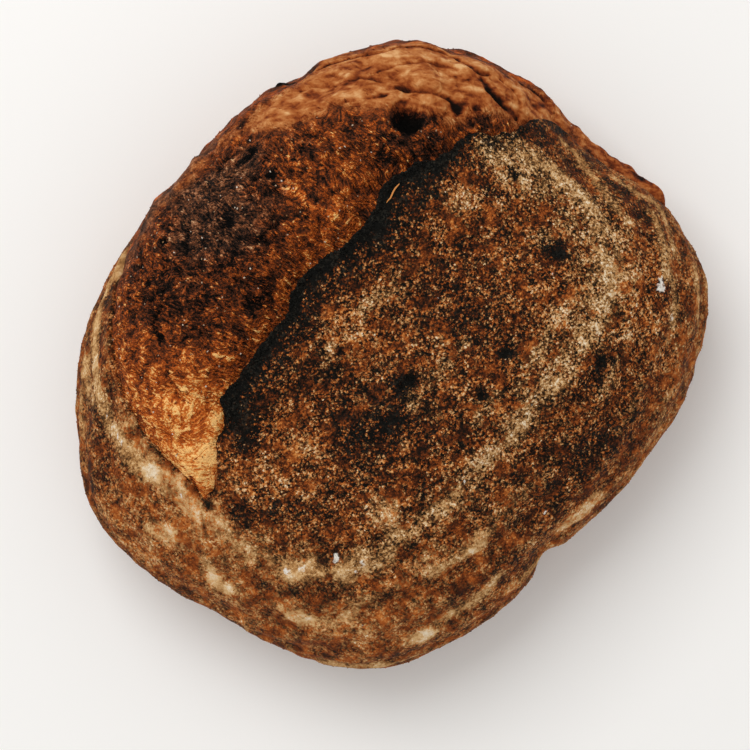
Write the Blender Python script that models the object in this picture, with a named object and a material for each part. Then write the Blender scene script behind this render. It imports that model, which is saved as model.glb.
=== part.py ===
# A dark-baked rye loaf from the hearth, nearly round, with one long slash that opened in the oven.
# The floured skin stands up along the slash as a burnt ear, and torn crust swells out beside it.
# +X runs along the slash, +Y towards the torn side, +Z up; the origin is on the floor, mid-loaf.
# Places on the crust are given as on a globe: a bearing round the loaf and a height angle, in
# degrees, from 90 at the crown through 0 at the girth to less than 0 below it.

from math import radians

import bmesh
import bpy
import numpy as np
from mathutils import noise

LENGTH = 0.241              # along the slash
WIDTH = 0.2045              # across it
HEIGHT = 0.100              # floor to the ear's highest point
# From the middle to the girth, every 15 degrees of bearing from +X.
REACH = (0.1095, 0.1115, 0.1145, 0.1145, 0.1075, 0.1035, 0.0990, 0.1005, 0.1050, 0.1105, 0.1150, 0.1210,
         0.1175, 0.1125, 0.1145, 0.1160, 0.1105, 0.1040, 0.0985, 0.1020, 0.1095, 0.1185, 0.1260, 0.1205)
GIRTH_HEIGHT = 0.034        # where the loaf is widest
CROWN_HEIGHT = 0.094        # the smooth dome's top, before the ear is raised
CROWN_SHIFT = 0.008         # the dome's top lies this far towards the torn side
CROWN_FULLNESS = 2.35       # superellipse power above the girth
HEEL_FULLNESS = 4.0         # and below it, where the side turns in to the hearth
HEEL_DEPTH = 0.038          # the lower half reaches this far down, and the hearth cuts it flat

CUTS = 34                   # faces along each edge of the cube that is blown up to the loaf
CROWN_SHARE = radians(15)   # how far the faces are drawn up from the heel to the crown
ARC = 0.150                 # mean crust length from the crown to the girth

# The slash: bearing, height angle, and how far the ear stands up there.
EAR = ((182.0, 46.2, 0.0000), (174.7, 55.7, 0.0005), (167.1, 61.8, 0.0005), (157.3, 62.7, 0.0050),
       (147.2, 68.4, 0.0070), (132.8, 72.4, 0.0075), (95.3, 72.3, 0.0080), (65.3, 72.1, 0.0085),
       (47.1, 69.2, 0.0085), (41.4, 62.2, 0.0080), (27.7, 55.7, 0.0075), (21.0, 46.0, 0.0060),
       (15.2, 41.6, 0.0025), (10.7, 29.0, 0.0020), (4.8, 24.4, 0.0015), (353.8, 21.6, 0.0010),
       (344.9, 14.6, 0.0005), (336.0, 5.0, 0.0000))
# The slash's lower lip, from the same first point round the torn side to the same last one.
LIP = ((182.0, 46.2), (174.0, 49.9), (163.0, 47.3), (148.7, 40.3), (137.3, 33.9), (123.7, 25.0),
       (108.0, 10.0), (90.0, 2.0), (68.0, 2.0), (45.0, -2.0), (20.0, -4.0), (0.0, -4.0),
       (345.0, -2.0), (336.0, 5.0))
EAR_STAND = 0.0085          # the ear's full height, which its lean and its foot follow
EAR_WIDTH = 0.016           # how far back from its edge the skin lifts
EAR_LEAN = 0.0040           # how far the edge leans across the loaf, out over the torn crust
EAR_UNDERCUT = 0.0020       # how far the torn crust runs in under it
FOOT_DEPTH = 0.0095         # the torn crust's drop at the ear's foot
FOOT_WIDTH = 0.013          # and how far out it takes to swell up again
SWELL = 0.0050              # the torn crust's rise between ear and lip
SWELL_PLACE = 1.3           # above one, the rise is highest beyond the middle, towards the lip
LIP_STEP = 0.0015           # the lower lip stands this far over the torn crust
LIP_WIDTH = 0.006
DRAW_WIDTH = 0.020          # faces this near the slash's edges are drawn in towards them
DRAW_POWER = 0.8

RING_LONG = 0.094           # the proving basket's main ring on the skin, along the slash
RING_ACROSS = 0.062         # and across it
RING_PITCH = 0.0125         # from one ring to the next
RING_RELIEF = 0.0006
RING_TURN = 0.055           # below this height the rings follow one another down the side
SKIN_LUMPS = (0.0008, 0.022)    # relief and size of the skin's unevenness
TORN_LUMPS = (0.0018, 0.013)    # relief and size of the torn crust's crags
LEDGE_BEARINGS = (40.0, 42.0)   # the torn crust's ledges: their middle and half spread
LEDGE_COUNT = 4.5               # ledges from the crown to the girth
LEDGE_RELIEF = 0.0012
LEDGE_OVERLAP = 0.8             # how much steeper a ledge's far side is than its near one
PIT = (38.3, 49.1, 0.0065, 0.0060)      # a burst bubble: bearing, height, radius, depth
FOLD = (267.0, 4.0, 0.0045)             # a crease up the plain side: bearing, spread, depth
FOLD_HEIGHTS = (-4.0, 24.0)             # the crease's middle and spread in height

CRUST_COLOUR = (0.115, 0.044, 0.016, 1.0)
CRUST_ROUGHNESS = 0.75
SHARP_EDGE = radians(55)
FLOOR_SNAP = 0.0006         # corners this near the hearth are put on it


def clear_scene():
    for item in list(bpy.data.objects):
        bpy.data.objects.remove(item, do_unlink=True)


def through(before, start, end, after, share):
    # The smooth curve between two points, which its two neighbours shape.
    bend = 2 * before - 5 * start + 4 * end - after
    twist = 3 * (start - end) + after - before
    return start + 0.5 * share * (end - before + share * (bend + share * twist))


def girth_reach(bearing):
    # How far the girth lies from the middle, at bearings in degrees.
    place = (bearing % 360) / 360 * len(REACH)
    step = np.floor(place).astype(int)
    near = [np.take(REACH, (step + k) % len(REACH)) for k in (-1, 0, 1, 2)]
    return through(*near, place - step)


def chart(bearing, height):
    # The crust laid flat: the crown in the middle, the girth one unit out.
    out = (90 - np.asarray(height)) / 90
    turn = np.radians(bearing)
    return np.stack((out * np.cos(turn), out * np.sin(turn)), axis=-1)


def globe(place):
    # The bearing and height angle of places on the chart.
    bearing = np.degrees(np.arctan2(place[:, 1], place[:, 0])) % 360
    return bearing, 90 - 90 * np.hypot(place[:, 0], place[:, 1])


def dome(place):
    # The loaf's smooth form at places on the chart.
    bearing, height = globe(place)
    rise, turn = np.radians(height), np.radians(bearing)
    above = height > 0
    power = np.where(above, CROWN_FULLNESS, HEEL_FULLNESS)
    size = (np.abs(np.cos(rise)) ** power + np.abs(np.sin(rise)) ** power) ** (1 / power)
    share = np.cos(rise) / size
    tall = np.where(above, CROWN_HEIGHT - GIRTH_HEIGHT, HEEL_DEPTH)
    reach = girth_reach(bearing) * share
    x = reach * np.cos(turn)
    y = reach * np.sin(turn) + CROWN_SHIFT * (1 - share)
    return np.stack((x, y, GIRTH_HEIGHT + tall * np.sin(rise) / size), axis=-1)


def outward(place):
    # The smooth form's direction out of the crust.
    step = 0.01
    east = dome(place + (step, 0)) - dome(place - (step, 0))
    north = dome(place + (0, step)) - dome(place - (0, step))
    across = np.cross(east, north)
    return across / np.linalg.norm(across, axis=1, keepdims=True)


def smooth_line(points, pieces=6):
    # A smooth line through the points, which also carries any value given with them.
    points = np.vstack((2 * points[0] - points[1], points, 2 * points[-1] - points[-2]))
    line = [through(*points[k:k + 4], share / pieces)
            for k in range(len(points) - 3) for share in range(pieces)]
    return np.array(line + [points[-2]])


def nearest_on(line, place):
    # For each place: the gap to the line, and the line's point and value there.
    start, step = line[:-1, :2], np.diff(line[:, :2], axis=0)
    share = ((place[:, None] - start) * step).sum(2) / (step ** 2).sum(1)
    share = share.clip(0, 1)
    foot = start + share[..., None] * step
    gap = np.linalg.norm(place[:, None] - foot, axis=2)
    pick = (np.arange(len(place)), gap.argmin(1))
    value = line[pick[1], 2:] + share[pick][:, None] * np.diff(line[:, 2:], axis=0)[pick[1]]
    return gap[pick] * ARC, foot[pick], value


def within(loop, place):
    # Which places lie inside a closed line.
    start, end = loop, np.roll(loop, -1, axis=0)
    x, y = place[:, :1], place[:, 1:]
    spans = (start[:, 1] > y) != (end[:, 1] > y)
    fall = np.where(spans, end[:, 1] - start[:, 1], 1)
    crossing = start[:, 0] + (y - start[:, 1]) * (end[:, 0] - start[:, 0]) / fall
    return (spans & (x < crossing)).sum(1) % 2 == 1


def bump(distance, width, power=2):
    # One at no distance, and fading past the width.
    return np.exp(-(np.abs(distance) / width) ** power)


def lumps(points, relief, size):
    # Soft unevenness of a given relief and size.
    return relief * np.array([noise.fractal(point / size, 1.0, 2.0, 3) for point in points])


def basket_rings(points):
    # Low ridges that the proving basket's coils left, one outside the other.
    out = np.hypot(points[:, 0], points[:, 1])
    main = np.hypot(points[:, 0] / RING_LONG, points[:, 1] / RING_ACROSS)
    travel = out - out / main + (RING_TURN - points[:, 2]).clip(0)
    return RING_RELIEF * np.cos(2 * np.pi * travel / RING_PITCH)


def ledges(place, points):
    # Torn layers that lie over each other like shingles, on one stretch of the torn crust.
    bearing, height = globe(place)
    aside = (bearing - LEDGE_BEARINGS[0] + 180) % 360 - 180
    wander = lumps(points, 0.6, 0.030)
    course = 2 * np.pi * ((90 - height) / 90 * LEDGE_COUNT + wander)
    shingle = np.sin(course + LEDGE_OVERLAP * np.sin(course))
    return LEDGE_RELIEF * bump(aside, LEDGE_BEARINGS[1], 4) * shingle


def raise_crust(place):
    # The whole crust: from places on the chart to points in the room.
    ear = smooth_line(np.column_stack((chart(*np.transpose(EAR)[:2]), np.transpose(EAR)[2])))
    lip = smooth_line(chart(*np.transpose(LIP)))
    edges = np.vstack((ear[:, :2], lip[-2::-1]))
    torn = within(edges, place)
    gap, foot, _ = nearest_on(edges, place)
    pull = (gap / DRAW_WIDTH).clip(0, 1) ** DRAW_POWER
    place = foot + (place - foot) * pull[:, None]

    gap, _, stand = nearest_on(ear, place)
    lip_gap = nearest_on(lip, place)[0]
    stand = stand[:, 0]
    full = stand / EAR_STAND
    lean = np.where(torn, -EAR_UNDERCUT, EAR_LEAN) * full * bump(gap, EAR_WIDTH / 2)
    place[:, 1] += lean / ARC
    points = dome(place)

    skin = stand * bump(gap, EAR_WIDTH, 1.5) + LIP_STEP / 2 * bump(lip_gap, LIP_WIDTH)
    skin += basket_rings(points) * (1 - bump(gap, EAR_WIDTH)) + lumps(points, *SKIN_LUMPS)
    between = gap / (gap + lip_gap + 0.001)
    crags = lumps(points, *TORN_LUMPS) + ledges(place, points)
    burst = SWELL * np.sin(np.pi * between ** SWELL_PLACE) + crags * (1 - bump(gap, LIP_WIDTH))
    burst -= FOOT_DEPTH * full * bump(gap, FOOT_WIDTH) + LIP_STEP / 2 * bump(lip_gap, LIP_WIDTH)
    pit_gap = np.linalg.norm(place - chart(*PIT[:2]), axis=1) * ARC
    burst -= PIT[3] * bump(pit_gap, PIT[2], 3)

    bearing, height = globe(place)
    fold = FOLD[2] * bump(bearing - FOLD[0], FOLD[1])
    fold = fold * bump(height - FOLD_HEIGHTS[0], FOLD_HEIGHTS[1])
    rise = np.where(torn, burst, skin) - fold
    return points + outward(place) * rise[:, None]


def blown_cube():
    # A cube cut into a grid of faces, whose corners are then spread over the chart.
    mesh = bmesh.new()
    bmesh.ops.create_cube(mesh, size=2.0)
    bmesh.ops.subdivide_edges(mesh, edges=mesh.edges[:], cuts=CUTS - 1, use_grid_fill=True)
    corners = np.tan(np.array([corner.co[:] for corner in mesh.verts]) * np.pi / 4)
    corners /= np.linalg.norm(corners, axis=1, keepdims=True)
    rise = np.arcsin(corners[:, 2].clip(-1, 1))
    rise -= CROWN_SHARE * np.cos(rise)
    bearing = np.degrees(np.arctan2(corners[:, 1], corners[:, 0]))
    return mesh, chart(bearing, np.degrees(rise))


def cut_on_hearth(mesh):
    # The flat underside, cut where the crust meets the hearth.
    bmesh.ops.bisect_plane(mesh, geom=mesh.verts[:] + mesh.edges[:] + mesh.faces[:],
                           plane_co=(0, 0, 0), plane_no=(0, 0, 1), clear_inner=True)
    rim = [edge for edge in mesh.edges if edge.is_boundary]
    bmesh.ops.holes_fill(mesh, edges=rim, sides=0)


def fit_to_size(mesh):
    # Brings the crust to its stated length, width and height, standing on the floor mid-loaf.
    points = np.array([corner.co[:] for corner in mesh.verts])
    low, high = points.min(0), points.max(0)
    middle = (low + high) / 2
    middle[2] = 0
    scale = np.array((LENGTH, WIDTH, HEIGHT)) / (high - low)
    for corner, point in zip(mesh.verts, (points - middle) * scale):
        corner.co = point


def crust_material():
    material = bpy.data.materials.new("crust")
    material.use_nodes = True
    shader = material.node_tree.nodes["Principled BSDF"]
    shader.inputs["Base Color"].default_value = CRUST_COLOUR
    shader.inputs["Roughness"].default_value = CRUST_ROUGHNESS
    shader.inputs["Metallic"].default_value = 0.0
    material.diffuse_color = CRUST_COLOUR
    return material


def make_loaf(collection):
    mesh, place = blown_cube()
    points = raise_crust(place)
    points[np.abs(points[:, 2]) < FLOOR_SNAP, 2] = 0
    for corner, point in zip(mesh.verts, points):
        corner.co = point
    cut_on_hearth(mesh)
    fit_to_size(mesh)
    bmesh.ops.recalc_face_normals(mesh, faces=mesh.faces[:])
    data = bpy.data.meshes.new("loaf")
    mesh.to_mesh(data)
    mesh.free()
    data.shade_smooth()
    data.set_sharp_from_angle(angle=SHARP_EDGE)
    data.materials.append(crust_material())
    loaf = bpy.data.objects.new("loaf", data)
    collection.objects.link(loaf)
    return loaf


clear_scene()
rye_loaf = bpy.data.collections.new("rye_bread_loaf")
bpy.context.scene.collection.children.link(rye_loaf)
make_loaf(rye_loaf)
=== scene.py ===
# A dark-baked, nearly round rye loaf that opened along one slash in the oven. The floured skin is one
# closed piece, the torn crust that swells out of the slash is another, and the grains of flour, bran
# and crumb that stick to them are scattered over both as small meshes.
# Places on the crust are a bearing round the loaf and a height angle in degrees: 90 at the crown, 0 at
# the girth, less below it. On the chart the crown is in the middle and the girth one unit out.

from math import pi, radians

import bmesh
import bpy
import numpy as np
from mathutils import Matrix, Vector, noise
from mathutils.kdtree import KDTree


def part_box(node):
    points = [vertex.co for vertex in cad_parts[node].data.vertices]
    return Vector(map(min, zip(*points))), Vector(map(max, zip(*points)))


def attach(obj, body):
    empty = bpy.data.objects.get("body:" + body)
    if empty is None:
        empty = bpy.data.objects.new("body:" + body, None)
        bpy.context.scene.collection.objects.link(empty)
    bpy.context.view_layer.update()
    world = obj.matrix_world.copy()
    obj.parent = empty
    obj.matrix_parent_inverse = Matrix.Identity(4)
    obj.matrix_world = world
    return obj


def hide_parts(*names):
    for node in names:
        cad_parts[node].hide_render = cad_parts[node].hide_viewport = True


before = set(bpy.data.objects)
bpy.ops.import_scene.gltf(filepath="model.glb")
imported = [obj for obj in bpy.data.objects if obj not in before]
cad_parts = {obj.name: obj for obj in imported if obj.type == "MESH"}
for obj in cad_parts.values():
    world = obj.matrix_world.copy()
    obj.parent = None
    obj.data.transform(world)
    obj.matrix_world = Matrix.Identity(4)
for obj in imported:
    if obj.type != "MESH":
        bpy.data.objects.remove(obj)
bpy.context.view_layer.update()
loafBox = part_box("loaf")
print("frame loaded")

form = {
    # how far the girth reaches out, in even steps of bearing
    "reach": (0.1095, 0.1115, 0.1145, 0.1145, 0.1075, 0.1035, 0.0990, 0.1005,
              0.1050, 0.1105, 0.1150, 0.1210, 0.1175, 0.1125, 0.1145, 0.1160,
              0.1105, 0.1040, 0.0985, 0.1020, 0.1095, 0.1185, 0.1260, 0.1205),
    "girthHeight": 0.034,
    "crownHeight": 0.094,
    "crownShift": 0.008,      # towards the torn side
    "crownFullness": 2.35,
    "heelFullness": 4.0,
    "heelDepth": 0.038,
    "arc": 0.150,             # crust length from the crown to the girth
}

slash = {
    # bearing, height angle, how far the ear stands up
    "ear": ((181.8, 45.0, 0.0000), (180.9, 48.3, 0.0003), (178.8, 51.8, 0.0004), (176.0, 55.0, 0.0005),
            (172.2, 58.3, 0.0008), (168.2, 60.2, 0.0016), (167.6, 62.6, 0.0030), (165.9, 64.4, 0.0045),
            (162.7, 64.2, 0.0055), (159.0, 64.0, 0.0060), (157.3, 66.0, 0.0065), (155.5, 68.1, 0.0070),
            (148.8, 70.5, 0.0072), (140.3, 72.7, 0.0075), (132.2, 74.5, 0.0075), (123.6, 75.7, 0.0078),
            (114.7, 75.3, 0.0080), (105.3, 74.2, 0.0080), (92.9, 73.9, 0.0082), (80.2, 73.7, 0.0084),
            (68.7, 73.8, 0.0085), (57.5, 73.5, 0.0085), (51.4, 72.6, 0.0085), (47.9, 71.5, 0.0085),
            (42.8, 71.0, 0.0085), (42.0, 69.5, 0.0084), (39.6, 67.3, 0.0083), (38.5, 63.9, 0.0082),
            (37.4, 62.2, 0.0081), (34.4, 60.6, 0.0080), (31.7, 59.4, 0.0078), (30.9, 57.9, 0.0077),
            (28.3, 56.9, 0.0076), (25.1, 55.6, 0.0074), (24.4, 53.9, 0.0072), (23.0, 51.9, 0.0070),
            (23.1, 49.7, 0.0065), (21.5, 46.6, 0.0060), (19.2, 44.4, 0.0055), (17.4, 43.6, 0.0045),
            (15.9, 40.2, 0.0038), (14.1, 37.7, 0.0032), (13.7, 33.9, 0.0028), (12.6, 28.3, 0.0024),
            (10.8, 22.9, 0.0020), (8.0, 18.5, 0.0017), (3.5, 16.0, 0.0014), (358.5, 14.5, 0.0012),
            (353.5, 14.5, 0.0010), (349.0, 13.5, 0.0008), (345.0, 11.0, 0.0004), (342.0, 8.5, 0.0000)),
    "lip": ((181.8, 45.0), (180.7, 46.3), (177.0, 48.9), (173.3, 50.2), (168.7, 50.3), (163.7, 48.2),
            (158.1, 45.6), (152.6, 42.2), (147.8, 39.4), (143.0, 37.1), (137.9, 34.2), (131.3, 30.2),
            (126.2, 26.2), (122.3, 23.1), (108.0, 10.0), (90.0, 2.0), (68.0, 2.0), (45.0, -2.0),
            (20.0, -3.0), (6.0, -2.0), (355.0, 1.0), (347.5, 4.5), (342.0, 8.5)),
    "finePieces": 12,         # short stretches between two points of a line
    "rag": ((0.0004, 0.0050), (0.0007, 0.0022)),   # how far the torn edge wanders, and over what length
    "ragFade": 0.04,          # share of the line over which it calms down at its ends
    "stand": 0.0085,
    "standWidth": 0.016,
    "lean": 0.0040,
    "undercut": 0.0020,
    "footDepth": 0.0095,
    "footWidth": 0.013,
    "swell": 0.0050,
    "swellPlace": 1.3,
    "lipStep": 0.0015,
    "lipWidth": 0.006,
}

rings = {
    "long": 0.094,
    "across": 0.062,
    "pitch": 0.0125,
    "relief": 0.0006,
    "turn": 0.055,            # below this height they follow one another down the side
    "start": (0.45, 0.5),     # where they begin, as a share of their oval, and over how much they rise
}

grainRoom = 0.0006            # the crust stays this far inside the box, for the grains that stand on it


def through(before, start, end, after, share):
    bend = 2 * before - 5 * start + 4 * end - after
    twist = 3 * (start - end) + after - before
    return start + 0.5 * share * (end - before + share * (bend + share * twist))


def smooth(share):
    share = np.clip(share, 0, 1)
    return share * share * (3 - 2 * share)


def bump(distance, width, power=2):
    return np.exp(-(np.abs(distance) / width) ** power)


def girthReach(bearing):
    place = (bearing % 360) / 360 * len(form["reach"])
    step = np.floor(place).astype(int)
    near = [np.take(form["reach"], (step + k) % len(form["reach"])) for k in (-1, 0, 1, 2)]
    return through(*near, place - step)


def chart(bearing, height):
    out = (90 - np.asarray(height)) / 90
    turn = np.radians(bearing)
    return np.stack((out * np.cos(turn), out * np.sin(turn)), axis=-1)


def globe(place):
    bearing = np.degrees(np.arctan2(place[:, 1], place[:, 0])) % 360
    return bearing, 90 - 90 * np.hypot(place[:, 0], place[:, 1])


def dome(place):
    # the smooth loaf, without its relief
    bearing, height = globe(place)
    rise, turn = np.radians(height), np.radians(bearing)
    above = height > 0
    power = np.where(above, form["crownFullness"], form["heelFullness"])
    size = (np.abs(np.cos(rise)) ** power + np.abs(np.sin(rise)) ** power) ** (1 / power)
    share = np.cos(rise) / size
    tall = np.where(above, form["crownHeight"] - form["girthHeight"], form["heelDepth"])
    reach = girthReach(bearing) * share
    x = reach * np.cos(turn)
    y = reach * np.sin(turn) + form["crownShift"] * (1 - share)
    return np.stack((x, y, form["girthHeight"] + tall * np.sin(rise) / size), axis=-1)


def outward(place, step=0.01):
    east = dome(place + (step, 0)) - dome(place - (step, 0))
    north = dome(place + (0, step)) - dome(place - (0, step))
    across = np.cross(east, north)
    return across / np.linalg.norm(across, axis=1, keepdims=True)


def smoothLine(points, pieces):
    points = np.vstack((2 * points[0] - points[1], points, 2 * points[-1] - points[-2]))
    line = [through(*points[k:k + 4], share / pieces)
            for k in range(len(points) - 3) for share in range(pieces)]
    return np.array(line + [points[-2]])


def sidewise(line):
    # unit directions to the left of a line on the chart
    along = np.gradient(line[:, :2], axis=0)
    along /= np.linalg.norm(along, axis=1, keepdims=True)
    return np.column_stack((-along[:, 1], along[:, 0]))


def lengthOf(line):
    steps = np.linalg.norm(np.diff(line[:, :2], axis=0), axis=1)
    return np.concatenate(((0,), np.cumsum(steps)))


def spaced(line, count):
    # the same line in equal steps
    travel = lengthOf(line)
    wanted = np.linspace(0, travel[-1], count)
    return np.column_stack([np.interp(wanted, travel, line[:, k]) for k in range(line.shape[1])])


def ragged(line, seed):
    share = lengthOf(line) / lengthOf(line)[-1]
    calm = smooth(share / slash["ragFade"]) * smooth((1 - share) / slash["ragFade"])
    spots = np.column_stack((line[:, :2] * form["arc"], np.full(len(line), seed)))
    wander = sum(relief * speckle(spots, size) for relief, size in slash["rag"])
    result = line.copy()
    result[:, :2] += sidewise(line) * (calm * wander / form["arc"])[:, None]
    return result


def nearestOn(line, place):
    # for each place: the gap to the line in metres, and the line's point and value there
    finder = KDTree(len(line))
    for number, spot in enumerate(line):
        finder.insert((spot[0], spot[1], 0), number)
    finder.balance()
    close = np.array([finder.find((x, y, 0))[1] for x, y in place])
    best = None
    for first in ((close - 1).clip(0), close.clip(0, len(line) - 2)):
        start, step = line[first, :2], line[first + 1, :2] - line[first, :2]
        share = (((place - start) * step).sum(1) / (step ** 2).sum(1)).clip(0, 1)[:, None]
        foot = start + share * step
        gap = np.linalg.norm(place - foot, axis=1) * form["arc"]
        value = line[first, 2:] * (1 - share) + line[first + 1, 2:] * share
        if best is None:
            best = gap, foot, value
        nearer = gap < best[0]
        best = [np.where(nearer if each.ndim == 1 else nearer[:, None], each, kept)
                for each, kept in zip((gap, foot, value), best)]
    return best


def within(loop, place, batch=8000):
    start, end = loop, np.roll(loop, -1, axis=0)
    answer = []
    for first in range(0, len(place), batch):
        x, y = place[first:first + batch, :1], place[first:first + batch, 1:]
        spans = (start[:, 1] > y) != (end[:, 1] > y)
        fall = np.where(spans, end[:, 1] - start[:, 1], 1)
        crossing = start[:, 0] + (y - start[:, 1]) * (end[:, 0] - start[:, 0]) / fall
        answer.append((spans & (x < crossing)).sum(1) % 2 == 1)
    return np.concatenate(answer)


def speckle(points, size, octaves=1):
    # soft noise between about -1 and 1, with features of a given size
    if octaves == 1:
        return np.array([noise.noise(point) for point in points / size])
    return np.array([noise.fractal(point, 1.0, 2.0, octaves) for point in points / size])


def creased(points, size, octaves=3):
    # noise with sharp ridges, from about 0 to 1
    ridge = [noise.ridged_multi_fractal(point, 1.0, 2.0, octaves, 1.0, 2.0) for point in points / size]
    return np.array(ridge) / 2.4


def ringTravel(points):
    out = np.hypot(points[:, 0], points[:, 1])
    main = np.hypot(points[:, 0] / rings["long"], points[:, 1] / rings["across"])
    return out - out / main + (rings["turn"] - points[:, 2]).clip(0)


def awayFrom(place, bearing, height):
    # metres along the crust from each place to one spot
    return np.linalg.norm(place - chart(bearing, height), axis=1) * form["arc"]


def below(height, start, fade):
    # from 0 at a height or bearing to 1 so many degrees under it
    return smooth((start - height) / fade)


def markedBy(place, marks):
    # how strongly each place is touched by round marks: bearing, height angle, radius in metres, strength
    total = np.zeros(len(place))
    for bearing, height, radius, strength in marks:
        away = awayFrom(place, bearing, height)
        total += strength * bump(away, radius, 2.4)
    return total.clip(0, 1)


def strokesOn(place, strokes, widen=1.0):
    # how strongly drawn lines touch each place: strength, half width in metres, then the line's points
    total = np.zeros(len(place))
    for strength, width, *line in strokes:
        width *= widen
        spots = smoothLine(chart(*np.transpose(line)), 10)
        reach = 2 * width / form["arc"]
        near = np.flatnonzero(((place > spots.min(0) - reach) & (place < spots.max(0) + reach)).all(axis=1))
        away = np.linalg.norm(place[near, None] - spots, axis=2).min(axis=1) * form["arc"]
        total[near] = np.maximum(total[near], strength * bump(away, width, 2.4))
    return total


def alongBearing(bearing, stations):
    # a strength that changes with the bearing, given at a few bearings in rising order
    turn = (bearing + 180) % 360 + 180
    where, value = np.transpose(stations)
    return np.interp(turn, where, value)


earBearing, earHeight, earStand = np.transpose(slash["ear"])
earPoints = np.column_stack((chart(earBearing, earHeight), earStand))
earLine = smoothLine(earPoints, slash["finePieces"])
lipLine = smoothLine(chart(*np.transpose(slash["lip"])), slash["finePieces"])
raggedEar = ragged(spaced(earLine, 700), 1.0)
raggedLip = ragged(spaced(lipLine, 420), 2.0)
slashLoop = np.vstack((raggedEar[:, :2], raggedLip[-2::-1]))


def setAttribute(data, name, values):
    kind = "FLOAT" if values.ndim == 1 else "FLOAT_VECTOR"
    layer = data.attributes.new(name, kind, "POINT")
    layer.data.foreach_set("value" if kind == "FLOAT" else "vector", np.asarray(values, np.float32).ravel())


# The floured skin: everything but the torn crust, with a sunk floor where the slash is open.
skinForm = {
    "cuts": 140,
    "crownShare": radians(15),
    "drawWidth": 0.012,       # faces this near the slash are drawn in towards its edge
    "drawPower": 0.8,
    "sink": 0.014,            # the floor of the slash, under the torn crust
    "turnWidth": 0.0036,      # how soon the ear turns under
    "lipTurn": 0.0050,
    "lumps": (0.0008, 0.022),
    "wrinkles": (0.00040, 0.0065),
    "pimples": (0.00018, 0.0024),
    "crackDepth": 0.0007,
    "fold": (267.0, 4.0, 0.0045),            # the nick in the side: bearing, half width and depth
    "foldHeights": (-4.0, 24.0),             # its middle height and half its run, in degrees
    "floorSnap": 0.0006,
}

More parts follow.
